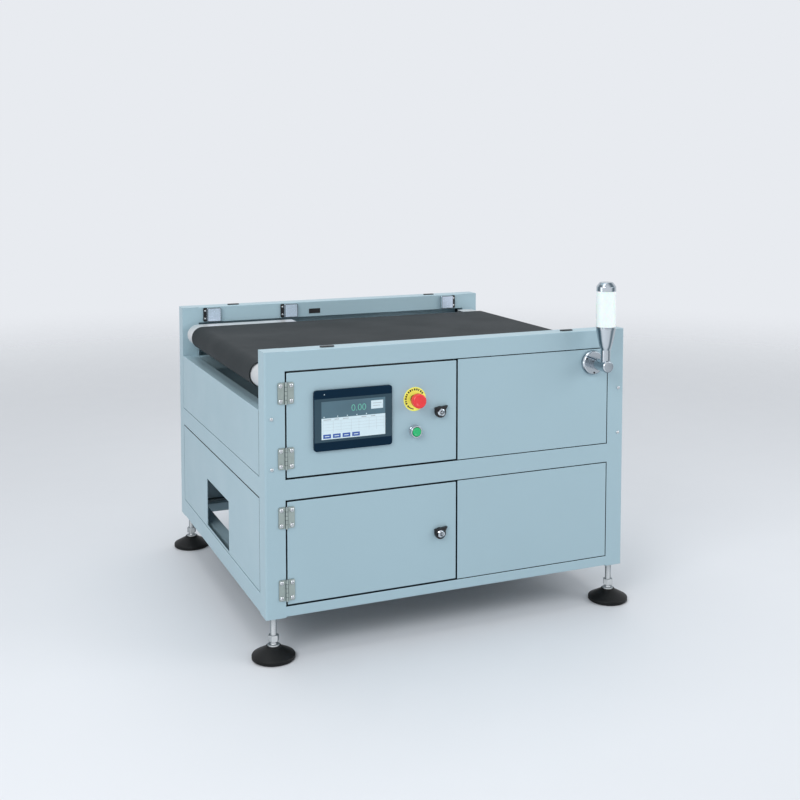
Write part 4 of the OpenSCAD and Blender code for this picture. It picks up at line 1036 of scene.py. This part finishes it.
class CHECKWEIGHER_OT_signal_lamp(bpy.types.Operator):
    """Turns the parts of the signal lamp"""

    bl_idname = "checkweigher.signal_lamp"
    bl_label = "Signal lamp"

    def execute(self, context):
        wide, thick, _ = span("lamp_flange")
        radius = wide / 2
        turned("lamp_wall_flange", "lamp_flange", FRONT, [
            (0, 0, 0), (radius, 0, 0.3), (radius, thick * 0.6, 2.0), (radius - 3, thick, 2.5),
            (0, thick, 0)])

        arm_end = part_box("lamp_arm")[0].y
        root = centre_of("lamp_flange")
        root.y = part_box("lamp_flange")[0].y - 0.3 * MM
        long = (root.y - arm_end) / MM
        knob = span("lamp_arm")[0] / 2
        rod, bolt = knob - 0.6, 9.9
        turned("lamp_wall_arm", "lamp_arm", FRONT, [
            (0, -10, 0), (bolt, -10, 0.3), (bolt, 0, 0), (rod, 0, 0.6), (rod, long - 30, 0.3),
            (knob, long - 29, 0.4), (knob, long, 4.0), (0, long, 0)], at=root)

        wide, _, tall = span("lamp_socket")
        wide /= 2
        neck, start = 12.5, 44.0
        flare = [(0, 1.0, 0), (neck, 1.0, 0), (neck, start - 1, 2.0)]
        for step in range(1, 21):
            share = step / 20
            flare.append((neck + (wide - neck) * share ** 0.72, start + 0.9 * (tall - start) * share, 0))
        groove = wide - 0.8
        flare += [(wide, tall - 2.6, 0.4), (groove, tall - 2.2, 0.2), (groove, tall - 1.4, 0.2),
                  (wide, tall - 1.0, 0.2), (wide, tall, 0.3), (0, tall, 0)]
        turned("lamp_cone", "lamp_socket", UP, flare)

        tall = span("lamp_lens")[2]
        turned("lamp_opal", "lamp_lens", UP, [
            (wide - 2.5, 0, 0), (wide, 0, 0.8), (wide, tall, 0.8), (wide - 2.5, tall, 0)], ring=True,
            at=seat("lamp_lens", UP, "lamp_socket"))

        tall = span("lamp_cap")[2]
        turned("lamp_top", "lamp_cap", UP, [
            (0, 0, 0), (wide, 0, 0.4), (wide, tall * 0.5, 2.0), (wide - 3.5, tall * 0.72, 3.0),
            (wide - 7, tall - 2.0, 3.0), (wide - 9, tall, 1.2), (0, tall, 0)], steps=8,
            at=seat("lamp_cap", UP, "lamp_socket"))

        side = Vector((0.8, 0, 0.6)).normalized()
        at = seat("lamp_socket", UP)
        at.y = arm_end + 12 * MM
        grub = lathe([(0, 0, 0), (3.0, 0, 0), (3.0, 2.2, 0.5), (1.6, 2.2, 0.2), (1.6, 1.0, 0), (0, 1.0, 0)],
                     at + side * rod * MM, side, 36)
        piece("lamp_grub_screw", grub, "lamp", "lamp_chrome", finishes=["black_plastic"])
        return {"FINISHED"}


# Rounding of each fitting's edges in millimetres
FITTINGS = {"reflectors": 0.8, "reflector_brackets": 0.5, "photo_sensors": 1.0, "rail_plugs": 0.8}


class CHECKWEIGHER_OT_rail_fittings(bpy.types.Operator):
    """Rounds the reflectors, their brackets, the light heads and the plugs of the guide rails"""

    bl_idname = "checkweigher.rail_fittings"
    bl_label = "Rail fittings"

    def execute(self, context):
        for node, width in FITTINGS.items():
            dress(node, width * MM)
        rim = 1.5 * MM
        for i, (low, high) in enumerate(islands("reflectors")):
            outer = rectangle(low.x, low.z, high.x, high.z, 3.0)
            inner = rectangle(low.x + rim, low.z + rim, high.x - rim, high.z - rim, 2.0)
            front, back = low.y - 0.1 * MM, low.y + 0.5 * MM
            bm = bmesh.new()
            rows = [[bm.verts.new((x, y, z)) for x, z in outline]
                    for outline, y in ((outer, back), (outer, front), (inner, front), (inner, back))]
            walls(bm, rows + rows[:1])
            bmesh.ops.recalc_face_normals(bm, faces=bm.faces)
            piece("reflector_rim_%d" % (i + 1), bm, body_of("reflectors"), "black_plastic")
        return {"FINISHED"}


def thread_tree():
    """Ridge that winds up a stud."""
    tree, given = growing_tree(
        "screw_thread", ("Radius", FLOAT), ("Height", FLOAT), ("Turns", FLOAT), ("Ridge", FLOAT))
    spiral = add(tree, "GeometryNodeCurveSpiral", {
        "Resolution": 24, "Rotations": given["Turns"], "Start Radius": given["Radius"],
        "End Radius": given["Radius"], "Height": given["Height"]})
    level = add(tree, "GeometryNodeSetCurveNormal", {"Curve": spiral}, mode="Z_UP")
    ridge = add(tree, "GeometryNodeCurvePrimitiveCircle", {
        "Resolution": 4, "Radius": given["Ridge"]}, mode="RADIUS")
    sweep = add(tree, "GeometryNodeCurveToMesh", {
        "Curve": level, "Profile Curve": ridge, "Fill Caps": True})
    return grown_tree(tree, sweep, given)


def hexagon(centre, across, z0, z1, edge):
    """Upright hexagon with broken edges."""
    radius = across / 2 / math.cos(math.pi / 6)
    turns = [math.tau * side / 6 for side in range(6)]
    outline = [(centre.x + radius * math.cos(turn), centre.y + radius * math.sin(turn)) for turn in turns]
    bm = prism([(*point, z0) for point in outline], [(*point, z1) for point in outline])
    round_edges(bm, lambda _: True, edge)
    return bm


class CHECKWEIGHER_OT_feet(bpy.types.Operator):
    """Builds the levelling feet: threaded studs with a hexagon, on coned pads"""

    bl_idname = "checkweigher.feet"
    bl_label = "Feet"

    def execute(self, context):
        sizes = context.scene.checkweigher_sizes
        tree = thread_tree()
        nut_low, nut_high, collar_low, collar_top, thread_low = 10, 25, 24.8, 25.6, 26.5
        core = 7.6
        for foot in FEET:
            stud, pad = foot + "_stud", foot + "_pad"
            base = seat(stud, UP)
            tall = span(stud)[2]
            shaft = lathe([
                (0, 0, 0), (15, 0, 0.3), (15, 2.2, 0.9), (13, 3.0, 0.6), (8.2, 3.2, 0.8), (7, 5.0, 1.5),
                (7, nut_low, 0), (core, nut_low + 0.2, 0), (core, tall - 1.0, 0.3), (core - 1, tall, 0.2),
                (0, tall, 0)], base, UP, 64)
            nut = hexagon(base, 24 * MM, base.z + nut_low * MM, base.z + nut_high * MM, 0.9 * MM)
            collar = lathe([
                (0, collar_low, 0), (11.2, collar_low, 0), (11.2, collar_top, 0.5), (0, collar_top, 0)],
                base, UP, 64)
            stand_in(foot + "_screw", together(shaft, nut, collar), stud)

            height = (tall - thread_low - 1) * MM
            ridge = grown(foot + "_thread", tree, "foot_steel", {
                "Radius": (core - 0.15) * MM, "Height": height, "Turns": height / sizes.pitch,
                "Ridge": 0.3 * MM})
            ridge.transform(Matrix.Translation(base + UP * thread_low * MM))
            settle(foot + "_thread", ridge, body_of(stud), "foot_steel", smooth=30.0)

            wide, _, tall = span(pad)
            wide /= 2
            turned(foot + "_sole", pad, UP, [
                (0, 0, 0), (wide - 4, 0, 0.5), (wide - 3, 1.2, 1.0), (wide, 2.4, 1.6), (wide, 10.5, 3.0),
                (wide - 3.5, 12.6, 4.0), (20.5, tall - 4.6, 1.5), (18, tall - 2.6, 1.5), (18, tall, 1.6),
                (15.6, tall, 0.4), (15.4, tall - 0.8, 0.2), (0, tall - 0.8, 0)], at=seat(pad, UP, stud))
        return {"FINISHED"}


def screw_head():
    """Unit pan head with a cross recess, facing +Z."""
    bm = lathe([(0, 0, 0), (500, 0, 0), (500, 100, 0), (475, 200, 0), (420, 270, 0), (340, 310, 0)],
               Vector(), UP, 24)
    near_top, top, bottom = 0.305, 0.33, 0.17
    arm, half, taper = 0.25, 0.065, 0.7
    rim = [edge for edge in bm.edges if all(vert.co.z > near_top for vert in edge.verts)]
    corners = []
    for turn in range(4):
        spin = Matrix.Rotation(turn * math.pi / 2, 2)
        corners += [spin @ Vector(point) for point in ((half, half), (arm, half), (arm, -half))]
    corners.sort(key=lambda point: math.atan2(point.y, point.x))
    cross = [bm.verts.new((point.x, point.y, top)) for point in corners]
    floor = [bm.verts.new((point.x * taper, point.y * taper, bottom)) for point in corners]
    loop = [bm.edges.new((near, far)) for near, far in zip(cross, cross[1:] + cross[:1])]
    bmesh.ops.triangle_fill(bm, edges=rim + loop, use_beauty=True, use_dissolve=False, normal=UP)
    inside = [face for face in bm.faces if all(vert in cross for vert in face.verts)]
    bmesh.ops.delete(bm, geom=inside, context="FACES_ONLY")
    walls(bm, [cross, floor])
    bm.faces.new(list(reversed(floor)))
    bmesh.ops.recalc_face_normals(bm, faces=bm.faces)
    return bm


def screws_tree():
    """Screw heads on points, each turned by chance."""
    tree, given = growing_tree(
        "screw_heads", ("Head", "NodeSocketObject"), ("Diameter", FLOAT), ("Seed", "NodeSocketInt"))
    head = add(tree, "GeometryNodeObjectInfo", {"Object": given["Head"], "As Instance": True})
    points = add(tree, "GeometryNodeMeshToPoints", {"Mesh": given["Geometry"]})
    facing = add(tree, "GeometryNodeInputNamedAttribute", {"Name": "facing"}, data_type="FLOAT_VECTOR")
    lean = add(tree, "FunctionNodeAlignRotationToVector", {"Vector": facing}, axis="Z")
    turn = add(tree, "FunctionNodeRandomValue", {
        "Seed": given["Seed"], RANDOM_LOW: 0.0, RANDOM_HIGH: math.pi / 2}, data_type="FLOAT")
    spin = add(tree, "FunctionNodeAxisAngleToRotation", {"Axis": UP, "Angle": turn.outputs[RANDOM_RESULT]})
    both = add(tree, "FunctionNodeRotateRotation", {
        "Rotation": lean, "Rotate By": spin}, rotation_space="LOCAL")
    placed = add(tree, "GeometryNodeInstanceOnPoints", {
        "Points": points, "Instance": head.outputs["Geometry"],
        "Rotation": both, "Scale": given["Diameter"]})
    return grown_tree(tree, placed, given)


def screw_points(name, places):
    """Mesh of loose points with the way that each screw faces."""
    mesh = bpy.data.meshes.new(name)
    mesh.from_pydata([tuple(at) for at, _ in places], [], [])
    facing = mesh.attributes.new("facing", "FLOAT_VECTOR", "POINT")
    for i, (_, way) in enumerate(places):
        facing.data[i].vector = way
    return mesh


def hinge_places(node):
    """Two screws on each leaf of a hinge, away from its pin."""
    inset, end = 7 * MM, 7.5 * MM
    for low, high in islands(node):
        x = low.x + inset if node == "hinge_frame_leaves" else high.x - inset
        for z in (low.z + end, high.z - end):
            yield Vector((x, DOOR_FACE - 2 * MM, z)), FRONT


def post_places():
    """A screw where each of the posts' screws is."""
    for low, high in islands("panel_screws"):
        at = (low + high) / 2
        front = low.y < 0
        at.y = high.y if front else low.y
        yield at, FRONT if front else BACK


def bracket_places():
    """Two screws on the free end of each reflector bracket."""
    inset, end = 5.5 * MM, 9 * MM
    for (low, high), (face_low, face_high) in zip(islands("reflector_brackets"), islands("reflectors")):
        x = low.x + inset if face_low.x - low.x > high.x - face_high.x else high.x - inset
        for z in (low.z + end, high.z - end):
            yield Vector((x, low.y, z)), FRONT


def flange_places():
    """Three screws round the lamp's flange."""
    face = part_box("lamp_flange")[0].y + 0.1 * MM
    for degrees in (30, 150, 270):
        yield on_face(centre_of("lamp_flange"), 26 * MM, degrees, face), FRONT


class CHECKWEIGHER_OT_screws(bpy.types.Operator):
    """Sets the screws of the hinges, posts, reflector brackets and lamp flange"""

    bl_idname = "checkweigher.screws"
    bl_label = "Screws"

    def execute(self, context):
        sizes = context.scene.checkweigher_sizes
        tree = screws_tree()
        head = bpy.data.objects.new("screw_head", plain_mesh("screw_head", screw_head()))
        bpy.context.scene.collection.objects.link(head)
        rows = []
        for leaves in ("hinge_frame_leaves", "upper_hinge_leaves", "lower_hinge_leaves"):
            name = leaves.replace("leaves", "screws")
            rows.append((name, body_of(leaves), "steel_pin", sizes.hinge_screw, hinge_places(leaves)))
        rows += [
            ("post_screws", "cabinet", "steel_pin", sizes.post_screw, post_places(), "panel_screws"),
            ("bracket_screws", "cabinet", "steel_pin", sizes.bracket_screw, bracket_places()),
            ("flange_screws", "cabinet", "black_plastic", 5 * MM, flange_places()),
        ]
        for seed, (name, body, slot, diameter, places, *nodes) in enumerate(rows, FIRST_SEED):
            made = grown(name, tree, slot, {"Head": head, "Diameter": diameter, "Seed": seed},
                         screw_points(name + "_places", list(places)))
            settle(name, made, body, slot, *nodes, smooth=35.0)
        bpy.data.objects.remove(head)
        return {"FINISHED"}


def area_light(name, place, target, size, power):
    """Soft light that itself stays out of view."""
    data = bpy.data.lights.new(name, "AREA")
    data.shape = "RECTANGLE"
    data.size, data.size_y = size
    data.energy = power
    lamp = bpy.data.objects.new(name, data)
    lamp.location = place
    lamp.visible_camera = False
    lamp.rotation_euler = (Vector(target) - Vector(place)).to_track_quat("-Z", "Y").to_euler()
    bpy.context.scene.collection.objects.link(lamp)


def set_camera(scene, stage):
    data = bpy.data.cameras.new("camera")
    data.sensor_width = SENSOR_WIDTH
    data.lens = stage.lens
    data.shift_y = stage.shift
    camera = bpy.data.objects.new("camera", data)
    camera.location = stage.place
    level = math.cos(stage.pitch)
    ahead = Vector((math.sin(stage.yaw) * level, math.cos(stage.yaw) * level, -math.sin(stage.pitch)))
    camera.rotation_euler = ahead.to_track_quat("-Z", "Y").to_euler()
    scene.collection.objects.link(camera)
    scene.camera = camera


def lay_floor(scene, stage, tone):
    """Pale floor that fades out into the background."""
    paint = finish("floor_paint", tone, (0.5, 0.6), tint=0.97, mottle=(0.7, 0.6))
    tree = paint.node_tree
    far = add(tree, "ShaderNodeVectorMath", {0: object_place(tree)}, operation="LENGTH").outputs["Value"]
    fade = add(tree, "ShaderNodeMapRange", {
        "Value": far, "From Min": stage.floor_near, "From Max": stage.floor_far,
        "To Min": 1.0, "To Max": 0.0}, interpolation_type="SMOOTHSTEP")
    tree.links.new(fade.outputs["Result"], tree.nodes["Principled BSDF"].inputs["Alpha"])
    bm = bmesh.new()
    bmesh.ops.create_circle(bm, cap_ends=True, radius=stage.floor_far, segments=96)
    mesh = plain_mesh("floor", bm)
    mesh.materials.append(paint)
    floor = bpy.data.objects.new("floor", mesh)
    scene.collection.objects.link(floor)


def set_surroundings(scene, ambient, backdrop):
    """Background in one colour where it is seen or mirrored, and an even light otherwise."""
    scene.world = bpy.data.worlds.new("surroundings")
    scene.world.use_nodes = True
    tree = scene.world.node_tree
    tree.nodes.clear()
    path = add(tree, "ShaderNodeLightPath").outputs
    seen = calculate(tree, "MAXIMUM", path["Is Camera Ray"], path["Is Glossy Ray"])
    seen = calculate(tree, "MAXIMUM", seen, path["Is Transmission Ray"])
    light = add(tree, "ShaderNodeBackground", {"Color": (0.95, 0.98, 1.0, 1.0), "Strength": ambient})
    view = add(tree, "ShaderNodeBackground", {"Color": (*backdrop, 1.0), "Strength": 1.0})
    both = add(tree, "ShaderNodeMixShader", {0: seen, 1: light, 2: view})
    add(tree, "ShaderNodeOutputWorld", {"Surface": both})


class CHECKWEIGHER_OT_stage(bpy.types.Operator):
    """Sets the camera, the pale floor, the background and the soft lights"""

    bl_idname = "checkweigher.stage"
    bl_label = "Stage"

    def execute(self, context):
        scene = context.scene
        stage, tones = scene.checkweigher_stage, scene.checkweigher_colours
        scene.view_settings.view_transform = "Standard"
        set_camera(scene, stage)
        lay_floor(scene, stage, tones.floor)
        set_surroundings(scene, stage.ambient, tones.backdrop)
        middle = (0.0, 0.0, 0.45)
        area_light("key_light", (-3.1, -2.8, 2.9), middle, (2.4, 2.0), stage.key)
        area_light("fill_light", (3.2, -2.4, 1.8), middle, (2.4, 2.0), stage.fill)
        area_light("top_light", (0.0, 0.4, 3.6), middle, (3.0, 3.0), stage.top)
        area_light("side_light", (-3.4, -0.3, 0.5), (0.0, 0.1, 0.3), (1.8, 1.0), stage.side)
        return {"FINISHED"}


PIECES = (
    CHECKWEIGHER_OT_finishes, CHECKWEIGHER_OT_cabinet, CHECKWEIGHER_OT_hinges, CHECKWEIGHER_OT_conveyor,
    CHECKWEIGHER_OT_touch_panel, CHECKWEIGHER_OT_stop_button, CHECKWEIGHER_OT_start_button,
    CHECKWEIGHER_OT_locks, CHECKWEIGHER_OT_signal_lamp, CHECKWEIGHER_OT_rail_fittings, CHECKWEIGHER_OT_feet,
    CHECKWEIGHER_OT_screws, CHECKWEIGHER_OT_stage,
)
SETTINGS = {
    "checkweigher_colours": CheckweigherColours,
    "checkweigher_sizes": CheckweigherSizes,
    "checkweigher_stage": CheckweigherStage,
}


class CHECKWEIGHER_PT_sidebar(bpy.types.Panel):
    """Lists the pieces and their settings"""

    bl_idname = "CHECKWEIGHER_PT_sidebar"
    bl_label = "Checkweigher"
    bl_space_type = "VIEW_3D"
    bl_region_type = "UI"
    bl_category = "Checkweigher"

    def draw(self, context):
        for operator in PIECES:
            self.layout.operator(operator.bl_idname)
        for setting, group in SETTINGS.items():
            box = self.layout.box()
            box.label(text=group.__doc__)
            for key in group.__annotations__:
                box.prop(getattr(context.scene, setting), key)


CLASSES = tuple(SETTINGS.values()) + PIECES + (CHECKWEIGHER_PT_sidebar,)


def register():
    for cls in CLASSES:
        bpy.utils.register_class(cls)
    for setting, group in SETTINGS.items():
        setattr(bpy.types.Scene, setting, bpy.props.PointerProperty(type=group))


def unregister():
    for setting in SETTINGS:
        delattr(bpy.types.Scene, setting)
    for cls in reversed(CLASSES):
        bpy.utils.unregister_class(cls)


def main():
    register()
    bpy.ops.checkweigher.finishes()
    bpy.ops.checkweigher.cabinet()
    bpy.ops.checkweigher.hinges()
    bpy.ops.checkweigher.conveyor()
    bpy.ops.checkweigher.touch_panel()
    bpy.ops.checkweigher.stop_button()
    bpy.ops.checkweigher.start_button()
    bpy.ops.checkweigher.locks()
    bpy.ops.checkweigher.signal_lamp()
    bpy.ops.checkweigher.rail_fittings()
    bpy.ops.checkweigher.feet()
    bpy.ops.checkweigher.screws()
    bpy.ops.checkweigher.stage()


if __name__ == "__main__":
    main()
